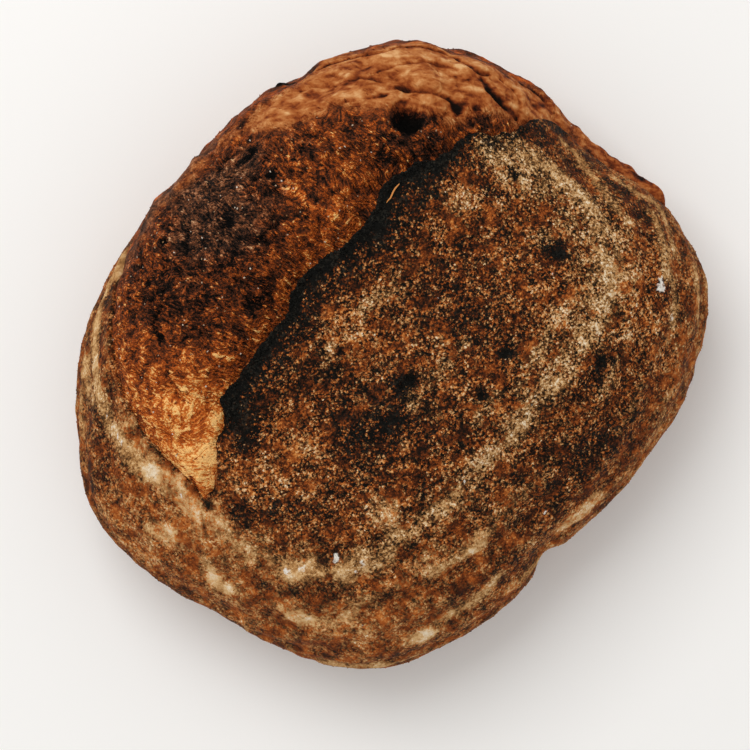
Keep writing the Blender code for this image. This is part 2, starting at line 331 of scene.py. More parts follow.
skinMarks = {
    # burnt places and warm brown ones: bearing, height angle, radius, strength
    "burnt": (
        (312.2, 66.4, 0.004, 0.7), (346.2, 52.9, 0.004, 0.7), (17.3, 49.2, 0.004, 0.5),
        (9.4, 46.3, 0.003, 0.5), (11.5, 53.2, 0.005, 0.5), (314.1, 49.6, 0.008, 0.5),
        (0.0, 57.0, 0.003, 0.4), (292.5, 38.6, 0.01, 0.45), (286.6, 43.8, 0.01, 0.45),
        (327.6, 37.1, 0.005, 0.6), (345.9, 28.1, 0.006, 0.6), (7.5, 20.7, 0.005, 0.7),
        (10.4, 30.4, 0.005, 0.7), (359.7, 19.1, 0.005, 0.5), (353.6, 25.9, 0.004, 0.5),
        (194.1, 53.7, 0.005, 0.5), (187.2, 51.0, 0.005, 0.5), (201.3, 38.1, 0.004, 0.5),
        (209.5, 41.3, 0.005, 0.5), (216.4, 44.5, 0.005, 0.4), (218.6, 25.5, 0.006, 0.4),
        (230.6, 52.9, 0.004, 0.4), (247.3, 37.8, 0.006, 0.4), (228.0, 42.7, 0.006, 0.3),
        (270.0, 78.7, 0.005, 0.45), (239.2, 75.9, 0.012, 0.26), (247.1, 71.6, 0.014, 0.24),
        (223.0, 73.5, 0.012, 0.4), (271.8, 65.7, 0.01, 0.3), (195.8, 78.2, 0.01, 0.25),
        (164.2, 78.2, 0.01, 0.3), (10.2, 67.8, 0.008, 0.25), (324.9, 73.3, 0.01, 0.2),
        (357.7, 53.0, 0.007, 0.3), (277.7, 37.1, 0.01, 0.35), (268.5, 39.7, 0.008, 0.2),
        (258.3, 36.0, 0.006, 0.3), (169.5, 65.5, 0.007, 0.65), (172.0, 62.6, 0.005, 0.6),
        (168.1, 68.2, 0.007, 0.35), (177.9, 63.4, 0.005, 0.1), (153.6, 29.9, 0.004, 0.3),
        (188.1, 55.0, 0.006, 0.25), (322.6, 48.3, 0.006, 0.2), (318.0, 40.9, 0.006, 0.3),
        (299.8, 36.5, 0.008, 0.3), (257.5, 49.9, 0.008, 0.25), (198.4, 58.8, 0.008, 0.25),
        (210.5, 56.9, 0.008, 0.25), (345.5, 74.1, 0.014, 0.32), (348.5, 59.6, 0.009, 0.25),
        (303.4, 46.7, 0.010, 0.3)),
    "warm": (
        (186.6, 49.3, 0.012, 0.5), (184.6, 42.2, 0.01, 0.5), (175.5, 40.5, 0.012, 0.5),
        (168.5, 37.5, 0.012, 0.25), (161.0, 37.1, 0.01, 0.2), (173.6, 22.9, 0.014, 0.6),
        (187.1, 26.6, 0.014, 0.6), (199.9, 32.3, 0.014, 0.5), (214.1, 28.1, 0.014, 0.6),
        (223.7, 24.4, 0.012, 0.7), (235.9, 25.9, 0.01, 0.6), (116.6, 82.5, 0.01, 0.7),
        (112.5, 79.3, 0.006, 0.4), (166.0, 86.7, 0.007, 0.4), (187.3, 71.2, 0.012, 0.35),
        (185.1, 64.1, 0.014, 0.55), (196.2, 62.4, 0.01, 0.3), (188.0, 57.5, 0.008, 0.3),
        (213.8, 66.0, 0.008, 0.25), (344.1, 84.1, 0.008, 0.3), (312.0, 79.1, 0.01, 0.3),
        (1.6, 62.5, 0.008, 0.3), (6.6, 52.0, 0.01, 0.5), (16.6, 58.9, 0.006, 0.6),
        (6.5, 46.5, 0.006, 0.4), (331.9, 57.6, 0.01, 0.4), (326.9, 61.5, 0.008, 0.3),
        (328.5, 42.3, 0.015, 0.95), (314.3, 28.4, 0.012, 0.6), (304.7, 22.8, 0.01, 0.5),
        (294.4, 10.6, 0.01, 0.6), (327.2, 26.4, 0.008, 0.5), (320.1, 23.5, 0.008, 0.5),
        (183.2, 62.5, 0.012, 0.65), (309.5, 44.8, 0.004, 0.5), (233.1, 40.9, 0.012, 0.3),
        (221.6, 35.4, 0.01, 0.3), (178.7, 22.4, 0.01, 0.5), (164.6, 26.4, 0.008, 0.5),
        (149.1, 21.3, 0.006, 0.4), (270.6, 18.0, 0.008, 0.4), (253.9, 21.2, 0.008, 0.5),
        (243.0, 22.5, 0.008, 0.5), (298.3, 12.5, 0.014, 1.0), (279.5, 23.5, 0.009, 0.7),
        (318.0, 14.0, 0.014, 0.5), (336.0, 14.0, 0.012, 0.5), (251.7, 41.9, 0.012, 0.4),
        (172.3, 26.5, 0.012, 0.7)),
    # pale, nearly bare blisters
    "pale": (
        (233.0, 60.3, 0.0048, 0.85), (233.4, 57.7, 0.003, 0.7), (210.3, 34.0, 0.0046, 1.0),
        (208.2, 34.7, 0.003, 0.7), (212.2, 34.1, 0.003, 0.7), (283.0, 23.6, 0.0052, 0.85),
        (280.3, 23.4, 0.0054, 0.9), (277.0, 23.6, 0.005, 0.9), (274.2, 24.6, 0.004, 0.7),
        (256.0, 44.2, 0.0036, 0.7), (253.0, 44.5, 0.003, 0.6), (257.7, 44.4, 0.0028, 0.5),
        (256.5, 22.3, 0.003, 0.6), (237.9, 27.3, 0.003, 0.5), (235.9, 26.6, 0.0026, 0.4),
        (16.2, 58.2, 0.003, 0.6), (16.9, 59.7, 0.003, 0.6), (156.8, 83.8, 0.0028, 0.5),
        (225.0, 79.7, 0.0022, 0.5), (266.9, 75.4, 0.0024, 0.5), (272.2, 69.8, 0.002, 0.5),
        (246.9, 69.8, 0.0016, 0.5), (309.5, 44.8, 0.0026, 0.5), (293.4, 40.0, 0.0018, 0.4),
        (108.8, 80.8, 0.0022, 0.4), (165.6, 44.6, 0.0034, 0.55), (167.9, 45.7, 0.004, 0.8),
        (170.7, 46.9, 0.0044, 0.85), (173.8, 46.9, 0.0044, 0.9), (176.6, 47.1, 0.0038, 0.9),
        (178.7, 46.2, 0.003, 0.7), (164.1, 44.5, 0.002, 0.5), (175.4, 35.0, 0.004, 0.8),
        (178.0, 35.9, 0.0044, 0.8), (180.0, 36.7, 0.003, 0.6), (190.9, 31.5, 0.003, 0.7),
        (193.5, 30.4, 0.0026, 0.6), (183.8, 47.9, 0.0026, 0.4), (180.7, 49.9, 0.002, 0.5),
        (176.4, 54.6, 0.0014, 0.4), (320.2, 77.4, 0.0022, 0.4)),
    # small bubbles that burst, darkened inside with painted shade, low blisters, and flour that lies in
    # clots: radius, then depth or strength
    "holes": (
        (278.1, 78.5, 0.0015, 0.0022), (265.9, 78.6, 0.0011, 0.0018), (293.4, 66.4, 0.0012, 0.0012),
        (344.7, 53.5, 0.0012, 0.0012), (315.0, 66.4, 0.0012, 0.001), (158.2, 85.6, 0.0009, 0.0009),
        (8.3, 46.4, 0.0008, 0.0008), (180.0, 49.3, 0.0011, 0.001), (314.2, 48.7, 0.001, 0.0008)),
    "blisters": (
        (233.0, 60.3, 0.0055, 0.0009), (210.3, 34.0, 0.0048, 0.0008), (279.6, 23.8, 0.0075, 0.0009),
        (256.0, 44.2, 0.0045, 0.0006), (237.9, 26.6, 0.004, 0.0005), (172.4, 46.9, 0.006, 0.0007),
        (178.0, 35.9, 0.0055, 0.0007), (16.6, 58.9, 0.004, 0.0005), (109.3, 81.9, 0.007, 0.0005),
        (12.3, 46.4, 0.006, 0.0005)),
    "clots": (
        (216.8, 52.1, 0.0013, 1.0), (217.0, 51.2, 0.0011, 1.0), (273.9, 35.1, 0.0011, 1.0),
        (262.3, 56.7, 0.0008, 0.8), (330.2, 36.5, 0.0018, 0.8), (331.5, 36.1, 0.0014, 0.8),
        (324.3, 32.7, 0.0013, 0.6), (205.3, 45.0, 0.0013, 0.7), (208.5, 47.3, 0.0013, 0.6),
        (224.1, 51.6, 0.0016, 0.6), (222.4, 49.6, 0.0014, 0.6), (154.3, 37.0, 0.0013, 0.8),
        (152.1, 34.4, 0.0012, 0.7), (156.1, 38.5, 0.0012, 0.7), (173.8, 46.9, 0.0011, 0.7),
        (149.4, 32.6, 0.0011, 0.6), (350.7, 75.2, 0.0009, 0.5), (340.0, 56.9, 0.0009, 0.5),
        (224.3, 36.3, 0.001, 0.5), (241.8, 37.8, 0.0009, 0.4), (298.1, 57.6, 0.001, 0.5)),
    # flour that the proving basket left in lines: strength, half width, then where the line runs
    "streaks": (
        (1.0, 0.0044, (16.4, 45.9), (15.8, 42.2), (13.4, 40.4), (9.5, 40.0), (7.0, 38.7)),
        (1.0, 0.0036, (7.0, 38.7), (3.4, 36.6), (0.0, 36.7), (357.2, 36.6), (353.5, 38.0),
         (350.0, 40.0)),
        (0.62, 0.006, (350.0, 40.0), (344.6, 43.2), (340.5, 45.6), (334.6, 49.1), (329.9, 50.2),
         (322.4, 52.7)),
        (0.8, 0.0036, (322.4, 52.7), (317.9, 54.5), (310.1, 55.4), (303.7, 56.9), (298.6, 56.6)),
        (0.85, 0.003, (298.6, 56.6), (290.0, 56.9), (284.1, 56.1)),
        (0.62, 0.003, (284.1, 56.1), (276.3, 56.0), (270.0, 56.2), (262.5, 55.9), (254.7, 56.0),
         (250.6, 56.1)),
        (0.7, 0.0024, (250.6, 56.1), (243.3, 56.3), (236.8, 55.2), (231.7, 54.3)),
        (0.95, 0.0032, (230.6, 52.9), (226.8, 52.0), (223.2, 51.1), (219.9, 49.0)),
        (0.8, 0.003, (212.3, 48.6), (209.5, 47.1), (205.3, 45.0)),
        (0.5, 0.003, (205.3, 45.0), (200.9, 44.5), (196.6, 43.8), (191.4, 44.5), (187.7, 45.5)),
        (0.85, 0.0017, (6.4, 24.0), (2.6, 23.0), (358.7, 25.3), (354.9, 28.2), (351.6, 31.8),
         (348.2, 34.4), (345.2, 34.8)),
        (0.75, 0.0018, (352.9, 21.1), (349.1, 21.8), (346.0, 18.6), (343.3, 19.6), (339.4, 24.0),
         (336.9, 26.3)),
        (0.7, 0.0022, (344.6, 24.9), (341.4, 27.3), (337.5, 29.5), (332.9, 33.5), (329.5, 32.4),
         (325.0, 32.2), (321.0, 32.8)),
        (0.4, 0.0013, (340.9, 9.5), (336.8, 11.3), (332.4, 20.9), (327.2, 22.1), (322.1, 19.5)),
        (0.45, 0.0022, (327.0, 58.9), (318.4, 60.6), (311.4, 61.6), (303.1, 61.5)),
        (0.4, 0.002, (296.7, 64.0), (287.3, 63.9), (278.2, 63.1)),
        (0.4, 0.0018, (318.9, 72.9), (306.1, 75.0), (289.2, 75.4), (266.9, 75.4)),
        (0.45, 0.002, (15.8, 78.2), (29.0, 81.7), (50.2, 83.7)),
        (0.42, 0.002, (321.2, 44.3), (316.6, 45.4), (311.8, 46.3), (306.1, 46.3)),
        (0.4, 0.0016, (304.9, 48.5), (298.2, 48.3), (292.8, 47.3)),
        (0.35, 0.0016, (309.4, 36.5), (304.6, 36.2), (300.0, 35.6)),
        (0.35, 0.0016, (309.8, 26.3), (303.4, 21.9), (298.3, 20.0)),
        (0.35, 0.0022, (285.6, 45.5), (277.1, 44.9), (269.1, 45.2), (263.7, 45.8)),
        (0.45, 0.0018, (259.4, 44.6), (255.1, 44.1), (250.0, 44.7), (245.2, 44.3), (240.0, 45.2)),
        (0.62, 0.0029, (255.2, 31.0), (252.0, 29.7), (248.8, 29.0), (244.9, 29.6), (241.1, 28.4),
         (237.9, 27.3), (234.6, 26.8)),
        (0.45, 0.002, (268.1, 15.8), (264.2, 18.6), (260.4, 21.2)),
        (0.45, 0.0022, (213.5, 34.4), (217.4, 35.8), (220.7, 38.3), (225.0, 42.8)),
        (0.6, 0.002, (187.4, 35.6), (190.3, 32.3), (192.9, 30.5), (195.4, 31.6)),
        (0.5, 0.003, (210.9, 13.8), (217.9, 11.0), (225.6, 14.1), (233.4, 11.5), (239.1, 11.8)),
        (0.35, 0.002, (234.0, 47.2), (240.2, 48.6), (246.2, 48.6)),
        (1.35, 0.0024, (113.8, 14.9), (116.5, 18.0), (120.0, 19.5), (122.3, 18.3), (125.3, 17.2),
         (127.9, 18.9), (131.1, 20.8), (133.7, 22.3)),
        (1.3, 0.0024, (133.7, 22.3), (137.6, 25.1), (140.8, 27.4), (144.1, 29.7), (147.4, 32.0),
         (150.8, 33.0), (154.3, 37.0), (158.6, 39.9), (162.2, 42.2), (164.8, 44.5)),
        (0.55, 0.004, (138.2, 19.2), (142.1, 19.5), (145.9, 25.9)),
        (0.4, 0.003, (153.0, 41.7), (157.1, 43.7), (160.7, 46.1)),
        (0.45, 0.002, (144.0, 15.5), (147.9, 16.1), (151.7, 17.9)),
        (0.55, 0.005, (13.5, 46.1), (7.9, 44.9), (1.6, 41.3)),
        (0.4, 0.005, (350.5, 43.9), (344.3, 47.9), (337.6, 49.8)),
        (0.35, 0.003, (351.3, 47.9), (350.0, 53.5)),
    ),
    # fine cracks, grooved and darkened with painted shade
    "cracks": (
        (0.8, 0.0007, (131.5, 78.5), (143.2, 81.9), (180.0, 83.5), (215.5, 83.0), (235.1, 80.1)),
        (0.7, 0.0007, (180.1, 46.8), (182.3, 44.8), (184.6, 42.2)),
        (0.5, 0.0007, (197.8, 35.0), (202.7, 37.8), (209.7, 40.5)),
        (0.5, 0.0007, (342.3, 33.5), (337.9, 33.3), (332.9, 36.6)),
    ),
}

skinZones = {
    # a height angle, and over how many degrees the zone comes in under it
    "heel": (16, 26),
    "flank": (44, 40),
    "calm": (45, 32),
    "soft": (64, 26),
    "softSide": (212, 62),    # bearing and half width of the side whose grain is softest
    "lip": (20, 12),          # this one comes in above its height
    # metres from the torn edge, then over how many it fades
    "charBand": (0.0016, 0.0036),
    "charBehind": (0.0050, 0.0090),
    "lipBand": 0.0060,
    # how much of the ear is charred: bearings, which run on past 360, and shares
    "charReach": ((180, 0.0), (360, 0.0), (371, 0.35), (376, 0.5), (380, 0.25), (383, 0.8),
                  (386, 1.0), (515, 1.0), (525, 1.0), (528, 0.5), (531, 0.1), (540, 0.0)),
    "clouds": ((0.0110, 3), (0.0045, 2)),    # size and layers of the wide and the fine mottling
    "paleFade": 0.0022,
}

skinShade = {
    # place on the skin's run of colours, from soot at 0 to flour at 1, and what moves it
    "plain": 0.42,
    "warm": 0.13,
    "flour": 0.24,
    "pale": 0.23,
    "char": 0.40,
    "cloud": 0.05,
    "flank": 0.07,
    "heel": 0.05,
    "byLip": 0.05,
    # painted shade in the holes and cracks
    "hole": 0.6,
}


def blownCube(cuts):
    # a cube cut into a grid, whose corners are spread over the chart
    mesh = bmesh.new()
    bmesh.ops.create_cube(mesh, size=2.0)
    bmesh.ops.subdivide_edges(mesh, edges=mesh.edges[:], cuts=cuts - 1, use_grid_fill=True)
    corners = np.tan(np.array([corner.co[:] for corner in mesh.verts]) * pi / 4)
    corners /= np.linalg.norm(corners, axis=1, keepdims=True)
    rise = np.arcsin(corners[:, 2].clip(-1, 1))
    rise -= skinForm["crownShare"] * np.cos(rise)
    bearing = np.degrees(np.arctan2(corners[:, 1], corners[:, 0]))
    return mesh, chart(bearing, np.degrees(rise))


def raiseSkin(place):
    # from places on the chart to points of the skin; also returns the places as they were drawn in
    gap, foot, _ = nearestOn(slashLoop, place)
    pull = (gap / skinForm["drawWidth"]).clip(0, 1) ** skinForm["drawPower"]
    place = foot + (place - foot) * pull[:, None]
    inside = within(slashLoop, place)
    gap, _, stand = nearestOn(raggedEar, place)
    lipGap = nearestOn(raggedLip, place)[0]
    stand = stand[:, 0]
    full = stand / slash["stand"]

    turned = smooth(gap / skinForm["turnWidth"])
    lipTurned = smooth(lipGap / skinForm["lipTurn"])
    lean = np.where(inside, slash["lean"] * (1 - turned) - slash["undercut"] * turned,
                    slash["lean"] * bump(gap, slash["standWidth"] / 2)) * full
    points = dome(place + np.column_stack((np.zeros(len(place)), lean / form["arc"])))

    edge = slash["lipStep"] / 2
    relief = (speckle(points, skinForm["lumps"][1], 3) * skinForm["lumps"][0]
              + speckle(points, skinForm["wrinkles"][1], 2) * skinForm["wrinkles"][0]
              + speckle(points, skinForm["pimples"][1]) * skinForm["pimples"][0])
    main = np.hypot(points[:, 0] / rings["long"], points[:, 1] / rings["across"])
    wave = np.cos(2 * pi * ringTravel(points) / rings["pitch"])
    ridges = rings["relief"] * smooth((main - rings["start"][0]) / rings["start"][1]) * wave
    relief += ridges * (1 - bump(gap, slash["standWidth"]))
    relief -= skinForm["crackDepth"] * strokesOn(place, skinMarks["cracks"])
    skin = stand * bump(gap, slash["standWidth"], 1.5) + edge * bump(lipGap, slash["lipWidth"]) + relief
    for bearing, height, radius, depth in skinMarks["holes"]:
        away = awayFrom(place, bearing, height)
        skin -= depth * bump(away, radius, 3)
    for bearing, height, radius, lift in skinMarks["blisters"]:
        away = awayFrom(place, bearing, height)
        skin += lift * bump(away, radius, 4)
    underEar = stand + relief - (stand + relief + skinForm["sink"]) * turned
    underLip = edge + relief - (edge + relief + skinForm["sink"]) * lipTurned
    bearing, height = globe(place)
    fold = skinForm["fold"][2] * bump(bearing - skinForm["fold"][0], skinForm["fold"][1])
    fold = fold * bump(height - skinForm["foldHeights"][0], skinForm["foldHeights"][1])
    rise = np.where(inside, np.maximum(underEar, underLip), skin) - fold
    return points + outward(place) * rise[:, None], place


def skinLooks(data, place, points):
    # what the skin's material and its grains read, worked out at every corner
    bearing, height = globe(place)
    inside = within(slashLoop, place)
    gap, _, stand = nearestOn(raggedEar, place)
    lipGap = nearestOn(raggedLip, place)[0]
    full = (stand[:, 0] / slash["stand"]).clip(0, 1)
    base = dome(place)
    travel = ringTravel(base)
    cloud = speckle(base, *skinZones["clouds"][0])
    cloudFine = speckle(base + 0.3, *skinZones["clouds"][1])

    flour = strokesOn(place, skinMarks["streaks"], 1.3) * (0.95 + 0.7 * cloudFine + 0.3 * cloud)
    flour += 0.10 * np.cos(2 * pi * travel / rings["pitch"]).clip(0, 1) + 0.12 * cloud
    flour = flour.clip(0, 1)
    onHeel, onFlank = below(height, *skinZones["heel"]), below(height, *skinZones["flank"])
    side, sideWidth = skinZones["softSide"]
    soft = bump((bearing - side + 180) % 360 - 180, sideWidth, 3) * below(height, *skinZones["soft"])
    lipHeight, lipFade = skinZones["lip"]
    byLip = np.where(inside, 0, bump(lipGap, skinZones["lipBand"], 1.5))
    byLip = byLip * smooth((height - lipHeight) / lipFade)

    reach = alongBearing(bearing, skinZones["charReach"])
    wide, fade = skinZones["charBand"]
    band = 1 - smooth((gap - wide - wide * (cloud + cloudFine)) / fade)
    wide, fade = skinZones["charBehind"]
    behind = 1 - smooth((gap - wide) / fade)
    char = reach * np.maximum(band, 0.40 * behind)
    burnt = markedBy(place, skinMarks["burnt"]) * (0.75 + 0.6 * cloud + 0.3 * cloudFine)
    char = np.maximum(char, 0.75 * burnt)
    charred = char.clip(0, 1)
    flour = flour * (1 - 0.9 * charred)

    warm = markedBy(place, skinMarks["warm"])
    cracks = strokesOn(place, skinMarks["cracks"])
    pale, clots = np.zeros(len(place)), np.zeros(len(place))
    for spot in skinMarks["pale"]:
        away = awayFrom(place, *spot[:2])
        edge = spot[2] * (0.85 + 0.5 * cloudFine + 0.3 * cloud)
        pale = np.maximum(pale, spot[3] * (1 - smooth((away - edge) / skinZones["paleFade"])))
    for spot in skinMarks["clots"]:
        away = awayFrom(place, *spot[:2])
        clots = np.maximum(clots, spot[3] * bump(away, spot[2] * (1 + 0.8 * cloudFine), 4))
    holes = markedBy(place, [(*spot[:2], spot[2] * 1.5, 1.0) for spot in skinMarks["holes"]])

    shade = skinShade["plain"] + skinShade["warm"] * warm + skinShade["flour"] * flour
    shade += skinShade["pale"] * pale - skinShade["char"] * char + skinShade["cloud"] * cloud
    shade += (skinShade["flank"] * np.maximum(onFlank, soft) + skinShade["heel"] * onHeel
              + skinShade["byLip"] * byLip)
    # painted shade in the burst holes and the fine cracks
    shade -= skinShade["hole"] * np.maximum(holes, 0.6 * cracks)
    turnedUnder = np.where(inside, smooth((gap - 0.0006) / 0.0016) * smooth((lipGap - 0.0008) / 0.002), 0)
    setAttribute(data, "shade", shade)
    setAttribute(data, "dust", ((flour + 0.35 * pale) * (1 - 0.6 * byLip)).clip(0, 1))
    calm = np.maximum(0.60 * below(height, *skinZones["calm"]), 0.58 * soft)
    setAttribute(data, "calm", (calm + 0.35 * pale + 0.4 * byLip + 0.3 * flour).clip(0, 0.85))
    setAttribute(data, "clots", clots.clip(0, 1))
    setAttribute(data, "char", charred)
    setAttribute(data, "torn", turnedUnder)
    setAttribute(data, "tint", np.full(len(place), 0.5))
    onTop = ~inside & (points[:, 2] > 0.002)
    edge = onTop & (gap < 0.0022) | inside & (gap < 0.0012)
    fewer = 1 - 0.5 * onFlank
    setAttribute(data, "grainShare", onTop * (0.35 + 0.65 * flour) * (1 - 0.8 * charred) * fewer)
    setAttribute(data, "branShare", onTop * (1 - 0.4 * charred) * (1 - 0.5 * pale) * fewer)
    setAttribute(data, "edgeShare", edge * smooth(full * 2) * reach)


def makeSkin():
    mesh, place = blownCube(skinForm["cuts"])
    points, place = raiseSkin(place)
    points[np.abs(points[:, 2]) < skinForm["floorSnap"], 2] = 0
    east = mesh.verts.layers.float.new("chartEast")
    north = mesh.verts.layers.float.new("chartNorth")
    for corner, point, spot in zip(mesh.verts, points, place):
        corner.co = point
        corner[east], corner[north] = spot
    bmesh.ops.bisect_plane(mesh, geom=mesh.verts[:] + mesh.edges[:] + mesh.faces[:],
                           plane_co=(0, 0, 0), plane_no=(0, 0, 1), clear_inner=True)
    rim = [edge for edge in mesh.edges if edge.is_boundary]
    bmesh.ops.holes_fill(mesh, edges=rim, sides=0)
    bmesh.ops.recalc_face_normals(mesh, faces=mesh.faces[:])
    place = np.array([(corner[east], corner[north]) for corner in mesh.verts])
    data = bpy.data.meshes.new("flouredSkin")
    mesh.to_mesh(data)
    mesh.free()
    return data, place


def cornersOf(data):
    points = np.empty(len(data.vertices) * 3, np.float32)
    data.vertices.foreach_get("co", points)
    return points.reshape(-1, 3).astype(float)


def turnOut(data):
    # makes the faces of a closed mesh point outwards
    mesh = bmesh.new()
    mesh.from_mesh(data)
    bmesh.ops.recalc_face_normals(mesh, faces=mesh.faces[:])
    mesh.to_mesh(data)
    mesh.free()


# The torn crust: a fine net laid between the ear and the lower lip and tucked in under both.
tornForm = {
    "along": 462,
    "across": 198,
    "tuck": 0.0042,           # how far it runs in under the skin
    "edgeDrop": 0.0010,
    "edgeWidth": 0.0030,
    "tuckDrop": 0.0045,
    "narrow": 0.012,          # narrower than this the slash is closing, and the swell dies away
    "crags": (0.0018, 0.013),
    "clumps": (0.00075, 0.0042),
    "fibres": (0.00050, 0.0013, 0.0046),    # relief, width and length
    "granules": (0.00026, 0.0014),
    "warp": (0.0030, 0.011),  # how far the fibres wander, and over what length
    "splits": (0.0022, 0.030),
    "splitFrom": (0.62, 0.25),               # how sharp a crease has to be, and over how much it opens
    "ledgeBearings": (40.0, 42.0),
    "ledgeCount": 4.5,
    "ledgeRelief": 0.0012,
    "ledgeOverlap": 0.8,
    "ridge": 0.0009,
    "crackDepth": 0.0013,
    "skirt": 0.006,
    "core": (0.0, 0.012, 0.045),
    "length": 0.340,          # run of the fibres' pattern from one end of the slash to the other
    "outer": (36, 16),        # height angle under which the crumb gives way to smooth rim, and its fade
    "girth": (22, 12),        # the same for the darker foot of the rim
    "girthBearing": (24, 14),                # that foot starts at this bearing, and its fade
    "stripBearing": (28, 30),                # the rim is darker short of this bearing, and its fade
    "cloud": (0.012, 3),
    "hollow": 0.0013,         # relief from the deepest hollow to the highest lump that the painted shade and highlight span
    "footShadow": 0.0035,
}

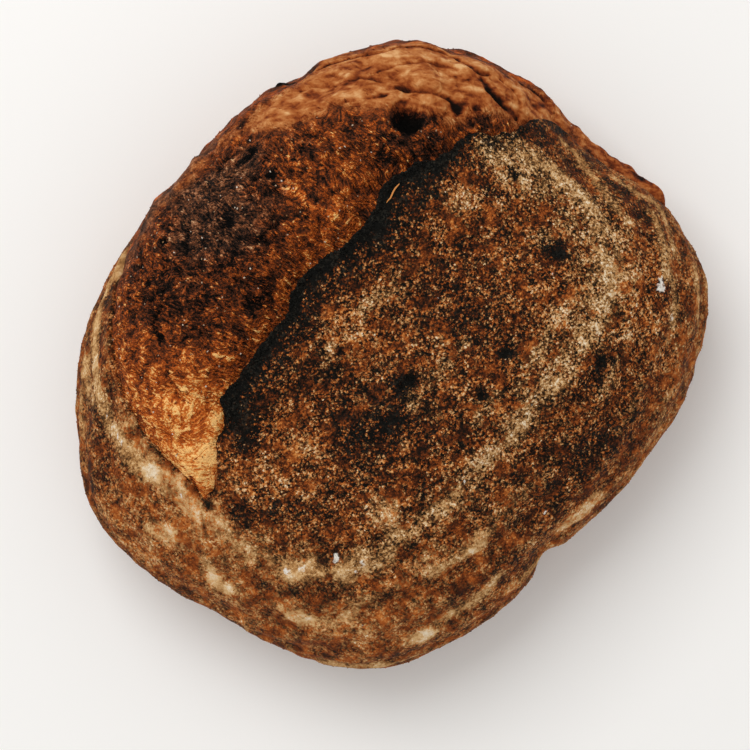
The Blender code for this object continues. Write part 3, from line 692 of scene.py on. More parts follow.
tornMarks = {
    # zones of colour, then pits darkened with painted shade, scorches and hollow shade (real scorched spots
    # plus painted shade in pits and holes), and cracks in the crumb, as on the skin
    "gold": (
        (159.0, 54.4, 0.013, 0.9), (171.3, 54.5, 0.011, 1.0), (169.0, 56.6, 0.009, 1.0),
        (144.1, 48.9, 0.013, 0.2), (136.1, 43.9, 0.009, 0.4), (150.8, 53.1, 0.012, 0.3),
        (153.3, 59.1, 0.01, 0.45), (146.2, 63.2, 0.008, 0.2), (137.7, 66.2, 0.007, 0.1),
        (163.3, 55.9, 0.01, 0.8), (159.4, 49.3, 0.009, 0.8), (128.6, 70.5, 0.005, 0.35),
        (109.6, 68.4, 0.006, 0.3), (88.7, 67.9, 0.006, 0.3), (66.3, 66.5, 0.008, 0.2),
        (58.9, 63.5, 0.008, 0.15), (79.2, 65.4, 0.007, 0.15), (54.4, 60.1, 0.008, 0.15),
        (135.9, 37.4, 0.005, 0.5), (129.1, 34.0, 0.005, 0.35), (125.0, 33.2, 0.004, 0.3),
        (176.3, 51.6, 0.006, 0.9), (147.6, 42.5, 0.006, 0.6), (136.9, 56.9, 0.008, 0.1),
        (64.0, 56.0, 0.013, 0.2), (76.0, 60.0, 0.012, 0.22)),
    "burnt": (
        (118.8, 52.2, 0.014, 0.75), (96.5, 51.1, 0.018, 0.85), (95.5, 38.9, 0.013, 0.75),
        (99.0, 33.5, 0.010, 0.7), (101.5, 37.5, 0.010, 0.5), (79.9, 42.6, 0.012, 0.55),
        (104.4, 51.6, 0.016, 0.75), (110.4, 42.1, 0.012, 0.75), (119.6, 44.8, 0.012, 0.75),
        (126.2, 45.6, 0.01, 0.6), (128.5, 59.0, 0.011, 0.55), (82.1, 54.7, 0.012, 0.4),
        (87.9, 47.6, 0.012, 0.6), (73.0, 50.3, 0.01, 0.2), (66.5, 46.6, 0.01, 0.2),
        (104.6, 39.7, 0.01, 0.6), (104.2, 60.2, 0.008, 0.4), (42.2, 52.3, 0.01, 0.5),
        (47.9, 55.3, 0.008, 0.25), (34.7, 48.3, 0.01, 0.2), (28.9, 49.0, 0.008, 0.1),
        (50.2, 45.4, 0.007, 0.25), (124.7, 37.8, 0.007, 0.4), (116.3, 33.0, 0.008, 0.5),
        (100.0, 24.0, 0.012, 0.5), (110.0, 25.5, 0.012, 0.4), (23.7, 39.0, 0.009, 0.3),
        (131.0, 49.6, 0.008, 0.2)),
    "tan": (
        (63.3, 32.2, 0.012, 0.9), (56.6, 31.3, 0.012, 0.9), (50.0, 34.0, 0.013, 0.9),
        (43.9, 36.2, 0.013, 0.85), (38.0, 34.2, 0.013, 0.9), (32.4, 28.4, 0.012, 0.9),
        (27.9, 31.2, 0.012, 0.85), (22.4, 24.6, 0.012, 0.9), (18.2, 22.6, 0.011, 0.9),
        (14.1, 14.9, 0.01, 0.9), (10.0, 10.5, 0.009, 0.9), (69.5, 33.9, 0.01, 0.6),
        (73.9, 29.9, 0.008, 0.4), (33.0, 37.2, 0.01, 0.7), (55.2, 19.8, 0.01, 0.8),
        (45.9, 26.8, 0.01, 0.8), (37.3, 21.8, 0.01, 0.8), (27.5, 24.2, 0.01, 0.8),
        (4.1, 3.8, 0.009, 0.9), (359.4, 7.5, 0.009, 0.9), (354.5, 8.4, 0.009, 0.9),
        (349.3, 9.3, 0.009, 0.9), (344.4, 7.1, 0.009, 0.9), (339.9, 6.7, 0.009, 0.9),
        (89.6, 27.9, 0.006, 0.5), (95.7, 27.6, 0.006, 0.5), (103.0, 28.2, 0.006, 0.5),
        (109.6, 28.4, 0.006, 0.5), (81.3, 28.0, 0.007, 0.5)),
    "ash": (
        (96.7, 51.0, 0.013, 0.9), (95.8, 39.1, 0.012, 0.9), (90.5, 39.1, 0.012, 0.6),
        (80.0, 40.5, 0.010, 0.7), (105.7, 44.1, 0.010, 0.7), (98.6, 29.5, 0.010, 0.5),
        (80.7, 52.8, 0.008, 0.4), (118.8, 52.2, 0.009, 0.3), (66.0, 44.0, 0.007, 0.3),
        (84.0, 23.0, 0.010, 0.6), (92.0, 22.5, 0.010, 0.7), (100.0, 22.5, 0.010, 0.7),
        (108.0, 23.5, 0.010, 0.7), (116.0, 25.0, 0.010, 0.6), (75.0, 20.0, 0.009, 0.5)),
    # raised ridges, paler partly in their own crust colour and partly as a painted highlight
    "light": (
        (50.2, 33.5, 0.006, 0.45), (42.7, 40.0, 0.006, 0.6), (35.8, 39.2, 0.006, 0.6),
        (31.7, 41.8, 0.004, 0.3), (45.5, 43.5, 0.005, 0.5), (19.3, 23.4, 0.005, 0.6),
        (54.2, 36.5, 0.007, 0.6), (63.4, 33.5, 0.006, 0.5), (30.5, 28.6, 0.006, 0.6),
        (36.3, 32.7, 0.006, 0.5), (38.7, 48.5, 0.004, 0.5), (68.7, 35.6, 0.006, 0.4),
        (24.0, 31.9, 0.004, 0.4), (12.2, 12.4, 0.005, 0.5), (47.9, 38.2, 0.005, 0.4),
        (161.4, 61.0, 0.003, 0.7), (170.1, 55.9, 0.009, 0.6), (172.6, 52.6, 0.007, 0.6)),
    # pits: sunk hollows, darkened inside with painted shade
    "pits": (
        (38.7, 45.7, 0.0052, 0.005), (40.4, 45.4, 0.0036, 0.002), (24.5, 29.0, 0.0018, 0.0009),
        (22.9, 29.1, 0.002, 0.0011), (21.3, 28.9, 0.0018, 0.001), (79.7, 39.8, 0.0024, 0.0012),
        (109.1, 39.1, 0.002, 0.0012), (115.2, 65.8, 0.003, 0.0012), (95.8, 48.9, 0.003, 0.0008),
        (24.9, 35.6, 0.002, 0.001), (66.2, 17.1, 0.0022, -0.0014), (29.0, 38.3, 0.002, 0.0008)),
    # real scorched spots, plus painted shade in the pits and holes at the same places
    "scorchesAndHollowShade": (
        (39.0, 45.5, 0.0046, 0.9), (40.9, 45.3, 0.003, 0.5), (36.7, 45.7, 0.003, 0.5),
        (29.0, 38.3, 0.0022, 0.5), (24.9, 35.6, 0.002, 0.4), (23.9, 40.5, 0.004, 0.5),
        (21.9, 37.6, 0.003, 0.4), (79.7, 39.8, 0.004, 0.7), (109.1, 39.1, 0.0018, 0.9),
        (66.2, 17.1, 0.0022, 1.0), (64.3, 12.3, 0.0016, 0.6), (77.2, 28.1, 0.002, 0.6),
        (115.2, 65.8, 0.0036, 0.6), (107.4, 65.1, 0.003, 0.5), (95.8, 48.9, 0.004, 0.5),
        (87.6, 33.7, 0.003, 0.4), (63.4, 54.6, 0.003, 0.5), (66.8, 47.3, 0.004, 0.4),
        (44.5, 52.3, 0.005, 0.4), (34.5, 49.2, 0.006, 0.2), (29.3, 48.8, 0.005, 0.15),
        (179.7, 49.1, 0.0013, 0.9), (346.3, 5.6, 0.0014, 0.9), (350.8, 9.2, 0.0022, 0.8),
        (32.6, 41.6, 0.003, 0.3), (122.6, 55.5, 0.003, 0.5), (101.1, 54.9, 0.004, 0.4),
        (77.7, 50.5, 0.003, 0.4), (53.7, 48.1, 0.003, 0.4), (74.5, 60.2, 0.003, 0.4)),
    # cracks, grooved and darkened with painted shade: strength, half width, then where the crack runs
    "cracks": (
        (0.9, 0.0009, (65.8, 17.1), (61.9, 20.4), (57.6, 21.1), (52.8, 22.0), (49.1, 24.1),
         (46.1, 25.1), (40.9, 21.9), (36.1, 20.9), (33.2, 21.4), (31.0, 23.2), (28.4, 25.3),
         (25.9, 23.2)),
        (0.6, 0.0009, (46.6, 32.5), (43.6, 30.7), (39.0, 29.5), (34.7, 27.1), (31.5, 27.5)),
        (0.8, 0.001, (42.6, 37.4), (38.6, 37.9), (35.7, 37.8), (32.7, 37.5), (30.0, 37.5), (28.1, 39.0)),
        (0.6, 0.0008, (55.7, 27.0), (52.9, 32.3), (49.4, 33.7), (46.1, 35.5)),
        (0.5, 0.0008, (62.7, 28.8), (58.6, 29.3), (54.2, 32.4)),
        (0.6, 0.0009, (20.0, 15.2), (16.2, 12.1), (13.0, 11.9)),
        (0.9, 0.0009, (92.5, 57.4), (88.9, 57.5), (84.0, 57.9), (79.4, 58.9)),
        (0.8, 0.0009, (109.3, 45.5), (106.0, 43.2), (103.3, 41.2)),
        (0.8, 0.0009, (120.3, 46.1), (124.5, 47.5), (129.5, 47.2), (132.1, 48.6), (133.6, 50.0)),
        (0.7, 0.001, (143.2, 52.1), (147.4, 53.8), (149.3, 54.2)),
        (1.0, 0.0008, (171.4, 51.8), (174.8, 49.9), (177.6, 47.8), (180.3, 44.7)),
        (0.7, 0.0008, (82.2, 45.4), (79.3, 47.4), (76.1, 49.9)),
        (0.6, 0.0008, (70.4, 57.3), (65.1, 59.6), (58.4, 58.5)),
        (1.0, 0.002, (25.8, 26.5), (24.4, 28.4), (22.7, 28.7), (21.3, 28.9), (20.0, 28.7)),
        (0.7, 0.0009, (84.2, 33.7), (80.3, 36.4), (77.0, 39.9)),
        (0.5, 0.0008, (23.3, 22.1), (19.4, 21.9), (17.1, 25.0), (16.6, 28.1)),
        (0.5, 0.0009, (43.1, 43.9), (41.0, 41.5), (37.8, 41.5), (34.1, 42.0), (32.0, 44.3)),
        (0.6, 0.0009, (53.3, 39.8), (48.9, 40.2), (44.6, 40.1)),
    ),
}

tornShade = {
    # place on the torn crust's run of colours, from black at 0 to pale at 1, and what moves it
    "plain": 0.52,
    "gold": 0.31,
    "burnt": 0.18,
    "tan": 0.06,
    "strip": 0.13,
    # light: raised ridges, partly their own paler crust and partly a painted highlight
    "light": 0.16,
    "cloud": 0.06,
    # ledge, split and pit: painted light and shade on the relief, with ledge crests lighter, troughs
    # darker, and painted shade in the splits and pits
    "ledge": 0.06,
    "split": 0.20,
    "pit": 0.45,
    # crack: painted shade in the cracks
    "crack": 0.50,
    # foot: painted shade under the ear's overhang
    "foot": 0.08,
    "girth": 0.08,
}


def tornNet():
    # the net's corners on the chart, and how far along and across each one lies in metres
    tuck = tornForm["tuck"] / form["arc"]
    ear = spaced(earLine[:, :2], tornForm["along"])
    lip = spaced(lipLine, tornForm["along"])
    ear = ear - sidewise(ear) * tuck
    lip = lip + sidewise(lip) * tuck
    for line in (ear, lip):
        for end, neighbour in ((0, 8), (-1, -9)):
            away = line[end] - line[neighbour]
            line[end] += away / np.linalg.norm(away) * tuck * 0.7
    share = np.linspace(0, 1, tornForm["across"])[:, None]
    place = ear[:, None] * (1 - share) + lip[:, None] * share
    along = np.broadcast_to(np.linspace(0, 1, tornForm["along"])[:, None], place.shape[:2])
    steps = np.linalg.norm(np.diff(place, axis=1), axis=2) * form["arc"]
    across = np.concatenate((np.zeros((tornForm["along"], 1)), np.cumsum(steps, axis=1)), axis=1)
    return place.reshape(-1, 2), along.ravel() * tornForm["length"], across.ravel()


def shingles(place, points):
    bearing, height = globe(place)
    aside = (bearing - tornForm["ledgeBearings"][0] + 180) % 360 - 180
    wander = 0.6 * speckle(points, 0.030, 3)
    course = 2 * pi * ((90 - height) / 90 * tornForm["ledgeCount"] + wander)
    wave = np.sin(course + tornForm["ledgeOverlap"] * np.sin(course))
    return bump(aside, tornForm["ledgeBearings"][1], 4) * wave


def raiseTorn(place, along, across):
    inside = within(slashLoop, place)
    gap, _, stand = nearestOn(raggedEar, place)
    lipGap = nearestOn(raggedLip, place)[0]
    full = stand[:, 0] / slash["stand"]
    edgeGap = np.minimum(gap, lipGap)
    lean = -slash["undercut"] * full * bump(gap, slash["standWidth"] / 2)
    points = dome(place + np.column_stack((np.zeros(len(place)), lean / form["arc"])))

    warpRelief, warpSize = tornForm["warp"]
    wander = warpRelief * np.column_stack([speckle(points + shift, warpSize, 2) for shift in (0.1, 0.2)])
    fibreRelief, fibreWide, fibreLong = tornForm["fibres"]
    strand = np.column_stack(((along + wander[:, 0]) / fibreWide, (across + wander[:, 1]) / fibreLong,
                              np.zeros(len(place))))
    fibres = np.array([noise.fractal(spot, 0.9, 2.1, 2) for spot in strand])
    clumps = speckle(points + 0.5, tornForm["clumps"][1], 2)
    granules = speckle(points + 0.7, tornForm["granules"][1])
    wave = shingles(place, points)
    tan = markedBy(place, tornMarks["tan"])
    bearings, heights = globe(place)
    outer = below(heights, *tornForm["outer"])
    calm = 1 - 0.8 * np.maximum(tan, outer)
    light = markedBy(place, tornMarks["light"])
    cracks = strokesOn(place, tornMarks["cracks"])
    fine = fibreRelief * fibres + tornForm["clumps"][0] * clumps
    fine = (fine + tornForm["granules"][0] * granules) * calm
    splitRelief, splitSize = tornForm["splits"]
    sharp, fade = tornForm["splitFrom"]
    split = smooth((creased(points + 0.9, splitSize) - sharp) / fade) * (1 - tan)
    fine -= splitRelief * 0.35 * split

    between = gap / (gap + lipGap + 0.001)
    outside = 1 - smooth(edgeGap / tornForm["edgeWidth"])
    opened = smooth((gap + lipGap) / tornForm["narrow"]) * np.where(inside, 1, outside)
    crags = tornForm["crags"][0] * speckle(points, tornForm["crags"][1], 3)
    crags += tornForm["ledgeRelief"] * wave * (1 - 0.5 * outer) + fine
    crags += tornForm["ridge"] * light - tornForm["crackDepth"] * cracks
    rise = slash["swell"] * opened * np.sin(pi * between ** slash["swellPlace"])
    rise += crags * (1 - 0.6 * bump(edgeGap, tornForm["edgeWidth"])) * (0.3 + 0.7 * opened)
    rise -= slash["footDepth"] * full * bump(gap, slash["footWidth"])
    rise -= slash["lipStep"] / 2 * bump(lipGap, slash["lipWidth"])
    rise -= tornForm["edgeDrop"] * bump(edgeGap, tornForm["edgeWidth"])
    rise -= np.where(inside, 0, tornForm["tuckDrop"] * smooth(edgeGap / tornForm["edgeWidth"]))
    pits = np.zeros(len(place))
    for bearing, height, radius, depth in tornMarks["pits"]:
        away = awayFrom(place, bearing, height)
        rise -= depth * bump(away, radius, 3)
        pits = np.maximum(pits, bump(away, radius * 0.9, 3))
    points = points + outward(place) * rise[:, None]
    gold, burnt = markedBy(place, tornMarks["gold"]), markedBy(place, tornMarks["burnt"])
    cloud = speckle(points, *tornForm["cloud"])
    turn = (bearings + 180) % 360 - 180
    girthStart, girthFade = tornForm["girthBearing"]
    girth = below(heights, *tornForm["girth"]) * smooth((turn - girthStart) / girthFade)
    strip = below(turn, *tornForm["stripBearing"])
    shade = tornShade["plain"] + tornShade["gold"] * gold - tornShade["burnt"] * burnt * (0.9 + 0.7 * cloud)
    shade += (tornShade["tan"] - tornShade["strip"] * strip) * tan * (1 - 0.5 * burnt)
    shade += tornShade["cloud"] * cloud - tornShade["girth"] * tan * girth
    # painted light and shade: the ledges' crests lighter and their troughs darker, and painted shade in the
    # splits and pits
    shade += tornShade["ledge"] * tan * (wave - 0.2) - tornShade["split"] * split - tornShade["pit"] * pits
    # painted highlight on the raised ridges, partly their own paler crust, and painted shade in the cracks
    shade += tornShade["light"] * light - tornShade["crack"] * cracks
    # painted shade along the ear's foot, where the ear overhangs the torn crust
    shade -= tornShade["foot"] * full * bump(gap, tornForm["footShadow"])
    # real scorches, and painted shade in the pits and holes they sit on
    for bearing, height, radius, strength in tornMarks["scorchesAndHollowShade"]:
        away = awayFrom(place, bearing, height)
        shade -= tornShade["pit"] * strength * bump(away + 0.0006 * cloud, radius, 3)
    looks = {
        # cavity: painted shade in the crumb's hollows and a painted highlight on its lumps, read from the
        # fine relief
        "cavity": (0.5 + fine / tornForm["hollow"]).clip(0, 1),
        "shade": shade,
        "tan": tan,
        "sleek": np.maximum(tan, 0.8 * outer),
        "ash": markedBy(place, tornMarks["ash"]),
        "tint": np.full(len(place), 0.5),
        "crumbShare": inside * smooth(edgeGap / 0.002) * (1 - 0.95 * np.maximum(tan, outer)),
        "strand": np.column_stack((along + wander[:, 0], across + wander[:, 1], np.zeros(len(place)))),
    }
    return points, looks


def makeTorn():
    place, along, across = tornNet()
    points, looks = raiseTorn(place, along, across)
    rows, columns = tornForm["along"], tornForm["across"]
    number = np.arange(rows * columns).reshape(rows, columns)
    corners = (number[:-1, :-1], number[1:, :-1], number[1:, 1:], number[:-1, 1:])
    faces = np.stack(corners, axis=-1).reshape(-1, 4)
    rim = np.concatenate((number[0, :-1], number[:-1, -1], number[-1, :0:-1], number[:0:-1, 0]))
    skirt = points[rim] - outward(place[rim]) * tornForm["skirt"]
    first = len(points)
    lower = first + np.arange(len(rim))
    around, lowerAround = np.roll(rim, -1), np.roll(lower, -1)
    wall = np.stack((rim, around, lowerAround, lower), axis=-1)
    middle = first + len(rim)
    fan = np.stack((lower, lowerAround, np.full(len(rim), middle)), axis=-1)
    allPoints = np.vstack((points, skirt, tornForm["core"]))
    data = bpy.data.meshes.new("tornCrust")
    data.from_pydata(allPoints.tolist(), [], faces.tolist() + wall.tolist() + fan.tolist())
    turnOut(data)
    extra = len(rim) + 1
    for name, values in looks.items():
        fill = np.zeros((extra, 3)) if values.ndim == 2 else np.zeros(extra)
        setAttribute(data, name, np.concatenate((values, fill)))
    return data


def fitToBox(meshes):
    # brings both meshes together to the loaf's length, width and height, less the room for grains
    allPoints = [cornersOf(data) for data in meshes]
    every = np.vstack([points[points[:, 2] > -0.0001] for points in allPoints])
    low, high = every.min(0), every.max(0)
    boxLow, boxHigh = np.array(loafBox[0], float), np.array(loafBox[1], float)
    boxLow[:2] += grainRoom
    boxHigh -= grainRoom
    scale = (boxHigh - boxLow) / (high - low)
    for data, points in zip(meshes, allPoints):
        fitted = boxLow + (points - low) * scale
        data.vertices.foreach_set("co", fitted.astype(np.float32).ravel())
        data.update()


# Shader maths: a wire is a node's socket that takes part in sums.
class Wire:
    def __init__(self, tree, socket=None):
        self.tree = tree
        self.socket = socket

    def add(self, kind, settings=None, inputs=None, output=0):
        node = self.tree.nodes.new(kind)
        for name, value in (settings or {}).items():
            if name == "stops":
                fillRamp(node.color_ramp, value)
            else:
                setattr(node, name, value)
        for name, value in (inputs or {}).items():
            if isinstance(value, Wire):
                self.tree.links.new(value.socket, node.inputs[name])
            else:
                node.inputs[name].default_value = value
        return Wire(self.tree, node.outputs[output])

    def math(self, operation, *values):
        return self.add("ShaderNodeMath", {"operation": operation}, dict(enumerate(values)))

    def __add__(self, other):
        return self.math("ADD", self, other)

    def __sub__(self, other):
        return self.math("SUBTRACT", self, other)

    def __rsub__(self, other):
        return self.math("SUBTRACT", other, self)

    def __mul__(self, other):
        return self.math("MULTIPLY", self, other)

    __radd__ = __add__
    __rmul__ = __mul__

    def clipped(self):
        return self.add("ShaderNodeClamp", {}, {0: self})

    def between(self, low, high):
        # smoothly from 0 at low to 1 at high
        settings = {"interpolation_type": "SMOOTHSTEP"}
        return self.add("ShaderNodeMapRange", settings, {0: self, 1: low, 2: high})

    def attribute(self, name, output=2):
        return self.add("ShaderNodeAttribute", {"attribute_name": name}, {}, output)

    def noise(self, place, size, detail=2.0, roughness=0.5, distortion=0.0, output=0):
        values = {"Vector": place, "Scale": 1 / size, "Detail": detail, "Roughness": roughness,
                  "Distortion": distortion}
        return self.add("ShaderNodeTexNoise", {}, values, output)

    def cells(self, place, size, output=0):
        return self.add("ShaderNodeTexVoronoi", {}, {"Vector": place, "Scale": 1 / size}, output)

    def channel(self, which):
        return self.add("ShaderNodeSeparateColor", {}, {0: self}, which)

    def blend(self, first, second, how="MIX"):
        # this wire is the share of the second colour
        settings = {"data_type": "RGBA", "blend_type": how}
        return self.add("ShaderNodeMix", settings, {0: self, 6: first, 7: second}, 2)

    def shifted(self, by, amount):
        # a place moved by a noise's colour
        centred = self.add("ShaderNodeVectorMath", {"operation": "SUBTRACT"}, {0: by, 1: (0.5, 0.5, 0.5)})
        scaled = self.add("ShaderNodeVectorMath", {"operation": "SCALE"}, {0: centred, "Scale": amount})
        return self.add("ShaderNodeVectorMath", {"operation": "ADD"}, {0: self, 1: scaled})


def fillRamp(ramp, stops):
    while len(ramp.elements) < len(stops):
        ramp.elements.new(0.5)
    for element, (place, colour) in zip(ramp.elements, stops):
        element.position = place
        element.color = colour


def tone(red, green, blue):
    # a screen colour from 0 to 255 as the linear colour of a surface
    share = np.array((red, green, blue)) / 255
    linear = np.where(share <= 0.04045, share / 12.92, ((share + 0.055) / 1.055) ** 2.4)
    return (*(float(value) for value in linear), 1.0)


def newMaterial(name, roughness):
    material = bpy.data.materials.new(name)
    material.use_nodes = True
    shader = material.node_tree.nodes["Principled BSDF"]
    shader.inputs["Roughness"].default_value = roughness
    shader.inputs["Metallic"].default_value = 0.0
    return material, shader, Wire(material.node_tree)


def plug(wire, socket):
    wire.tree.links.new(wire.socket, socket)


skinColours = ((0.00, tone(9, 8, 5)), (0.20, tone(30, 17, 9)), (0.36, tone(68, 32, 14)),
               (0.50, tone(116, 55, 20)), (0.64, tone(160, 83, 33)), (0.80, tone(202, 128, 62)),
               (1.00, tone(228, 174, 112)))
dustColours = ((0.00, tone(8, 8, 5)), (0.20, tone(25, 21, 13)), (0.36, tone(62, 43, 24)),
               (0.50, tone(122, 82, 45)), (0.64, tone(176, 128, 77)), (0.80, tone(214, 174, 122)),
               (1.00, tone(234, 216, 188)))
skinTones = {
    "soot": tone(8, 8, 6),
    "sootPale": tone(38, 36, 30),
    "clot": tone(228, 222, 212),
    "torn": tone(112, 56, 24),
    "tornDark": tone(30, 15, 6),
}
gloss = 0.07                  # how strongly a dry crust mirrors light, next to 0.5 for a varnished one


skinPattern = {
    # sizes in metres
    "cloud": 0.0100,
    "mottle": 0.0042,
    "fleck": 0.0009,
    "coarse": 0.00105,
    "fine": 0.00064,
    "patches": 0.0062,
    "crumb": 0.0016,
    "bump": 0.0006,           # how deep the shading's relief looks
}


def skinMaterial():
    material, shader, wire = newMaterial("flouredSkin", 0.7)
    shader.inputs["Specular IOR Level"].default_value = gloss
    place = wire.add("ShaderNodeTexCoord", {}, {}, "Object")
    shade, dust, calm = wire.attribute("shade"), wire.attribute("dust"), wire.attribute("calm")
    clots, torn, char = wire.attribute("clots"), wire.attribute("torn"), wire.attribute("char")
    tint = wire.attribute("tint")

    cloud = wire.noise(place, skinPattern["cloud"], 3.0, 0.6) - 0.5
    mottle = wire.noise(place, skinPattern["mottle"], 3.0, 0.62) - 0.5
    fleck = wire.noise(place, skinPattern["fleck"], 2.0, 0.6) - 0.5
    # grains: small cells, each with a lot of its own, and darker gaps between them
    stray = wire.noise(place, skinPattern["fleck"], 1.0, 0.5, 0.0, "Color")
    strayed = place.shifted(stray, skinPattern["fleck"])
    coarse = wire.cells(strayed, skinPattern["coarse"], "Color")
    fine = wire.cells(strayed, skinPattern["fine"], "Color")
    gaps = wire.cells(strayed, skinPattern["coarse"]) * 0.24
    gaps = gaps + wire.cells(strayed, skinPattern["fine"]) * 0.24
    grain = (coarse.channel(0) - 0.5) * 0.42 + (fine.channel(0) - 0.5) * 0.54 + fleck * 1.1 - gaps + 0.24
    # rusty patches are smooth; the floury crust between them is grainy
    patches = wire.noise(place, skinPattern["patches"], 3.0, 0.62, 0.5) - 0.5
    rust = (patches * -1.0 - dust * 0.12).between(-0.01, 0.09)
    grain = grain * 0.92 * (1 - rust * 0.55) * (1 - calm) + (tint - 0.5) * 0.55 * (1 - calm * 0.8)
    texture = grain + mottle * 0.85 + cloud * 0.5
    spot = shade + texture
    crust = wire.add("ShaderNodeValToRGB", {"stops": skinColours}, {"Fac": spot})
    flour = wire.add("ShaderNodeValToRGB", {"stops": dustColours}, {"Fac": spot})
    floury = dust - rust * 0.4 + calm * 0.22 + (fine.channel(1) - 0.5) * 0.8
    floury = floury + (coarse.channel(1) - 0.5) * 0.5 + 0.30
    colour = floury.between(0.15, 0.85).blend(crust, flour)
    soot = (char * 1.15 + mottle * 0.5 - grain - 0.12).between(0.05, 0.5) * 0.92
    ash = (mottle * 1.6 + fine.channel(2) * 0.9 - 0.35).between(0.1, 0.7)
    colour = soot.blend(colour, ash.blend(skinTones["soot"], skinTones["sootPale"]))
    colour = (clots + fleck * 0.9 + mottle * 0.4).between(0.35, 0.7).blend(colour, skinTones["clot"])
    crumb = wire.noise(place, skinPattern["crumb"], 3.0, 0.7, 0.6).between(0.36, 0.66)
    colour = torn.blend(colour, crumb.blend(skinTones["tornDark"], skinTones["torn"]))
    plug(colour, shader.inputs["Base Color"])
    plug((0.62 + spot * 0.3).clipped(), shader.inputs["Roughness"])
    relief = wire.add("ShaderNodeBump", {},
                      {"Strength": 0.8, "Distance": skinPattern["bump"], "Height": texture})
    plug(relief, shader.inputs["Normal"])
    return material


tornColours = ((0.00, tone(10, 7, 5)), (0.18, tone(36, 22, 15)), (0.34, tone(68, 36, 21)),
               (0.50, tone(106, 51, 24)), (0.65, tone(150, 69, 25)), (0.80, tone(192, 92, 31)),
               (0.92, tone(226, 142, 64)), (1.00, tone(250, 196, 122)))
rimColours = ((0.00, tone(18, 9, 5)), (0.20, tone(66, 27, 11)), (0.38, tone(122, 54, 20)),
              (0.54, tone(160, 87, 39)), (0.74, tone(190, 123, 69)), (1.00, tone(222, 172, 118)))
ashColours = ((0.00, tone(11, 10, 9)), (0.20, tone(34, 27, 23)), (0.36, tone(66, 47, 36)),
              (0.52, tone(98, 62, 41)), (0.70, tone(144, 95, 62)), (1.00, tone(204, 172, 138)))


tornPattern = {
    # sizes in metres
    "crumb": 0.0011,
    "grit": 0.0008,
    "mottle": 0.0042,
    "lump": 0.0056,
    "knob": 0.0026,
    "bump": 0.0010,           # how deep the shading's relief looks
    "lumpTurn": radians(43),  # the rim's lumps lie along it, from the picture's left to its right
}


def tornMaterial():
    material, shader, wire = newMaterial("tornCrust", 0.72)
    shader.inputs["Specular IOR Level"].default_value = gloss
    place = wire.add("ShaderNodeTexCoord", {}, {}, "Object")
    strand = wire.attribute("strand", 1)
    # the relief attribute paints shade into the crumb's hollows and light onto its lumps
    cavity, shade = wire.attribute("cavity") - 0.5, wire.attribute("shade")
    tan, tint, smoothed = wire.attribute("tan"), wire.attribute("tint"), wire.attribute("sleek")

    combed = wire.add("ShaderNodeMapping", {}, {"Vector": strand, "Scale": (1.0, 0.5, 1.0)})
    turned = (0, 0, tornPattern["lumpTurn"])
    swept = wire.add("ShaderNodeMapping", {}, {"Vector": place, "Rotation": turned})
    swept = wire.add("ShaderNodeMapping", {}, {"Vector": swept, "Scale": (0.58, 1.0, 1.0)})
    crumb = wire.noise(combed, tornPattern["crumb"], 3.0, 0.68, 1.1) - 0.5
    grit = wire.noise(place, tornPattern["grit"], 2.0, 0.6) - 0.5
    mottle = wire.noise(place, tornPattern["mottle"], 3.0, 0.65, 0.4) - 0.5
    lump = wire.noise(swept, tornPattern["lump"], 2.0, 0.55, 0.5) - 0.5
    knob = wire.noise(swept, tornPattern["knob"], 2.0, 0.5, 0.3) - 0.5
    rough = (crumb * 1.75 + cavity * 0.4 + grit * 0.8 + mottle * 0.8) * (1.62 - shade * 1.02)
    sleek = lump + knob * 0.95 + mottle * 0.5 + crumb * 0.3 + cavity * 0.2
    texture = smoothed * sleek + (1 - smoothed) * rough
    spot = shade + texture + (tint - 0.5) * 0.45
    colour = wire.add("ShaderNodeValToRGB", {"stops": tornColours}, {"Fac": spot})
    rim = wire.add("ShaderNodeValToRGB", {"stops": rimColours}, {"Fac": spot})
    soot = wire.add("ShaderNodeValToRGB", {"stops": ashColours}, {"Fac": spot + 0.04})
    colour = ((wire.attribute("ash") + mottle * 1.6).between(0.2, 0.9) * 0.68).blend(colour, soot)
    colour = (tan + mottle * 0.8 + lump * 0.5).between(0.25, 0.65).blend(colour, rim)
    plug(colour, shader.inputs["Base Color"])
    plug((0.80 - spot * 0.18).clipped(), shader.inputs["Roughness"])
    relief = wire.add("ShaderNodeBump", {},
                      {"Strength": 0.9, "Distance": tornPattern["bump"], "Height": texture})
    plug(relief, shader.inputs["Normal"])
    return material


grains = {
    # name: source piece, share attribute, number a square metre, length, width and thickness in metres,
    # how far it lies across the slash, seed, lowest and highest tint, and the finish it shares
    "semolina": ("skin", "grainShare", 290000, (0.00074, 0.00062, 0.00046), 0, 11, (0.45, 0.95), "skin"),
    "bran": ("skin", "branShare", 150000, (0.00105, 0.00075, 0.00030), 0, 12, (0.05, 0.80), "skin"),
    "shreds": ("torn", "crumbShare", 330000, (0.0021, 0.00052, 0.00048), 1, 13, (0.15, 0.85), "torn"),
    "crumbs": ("torn", "crumbShare", 15000, (0.00080, 0.00070, 0.00052), 0, 14, (0.0, 1.0), "crumbs"),
    "earFlakes": ("skin", "edgeShare", 600000, (0.0016, 0.0011, 0.0008), 0, 15, (0.2, 0.6), "skin"),
}

grainShape = {
    "smallest": (0.55, 0.60, 0.60),          # share of a kind's length, width and thickness
    "largest": (1.35, 1.30, 1.30),
    "tilt": 0.3,              # radians off the surface, either way
    "swing": 1.0,             # radians about it, either way
    "dents": 1500.0,          # to the metre
    "dentDepth": 0.00055,
}

crumbColours = ((0.0, tone(112, 72, 42)), (0.5, tone(164, 124, 86)), (1.0, tone(224, 212, 196)))


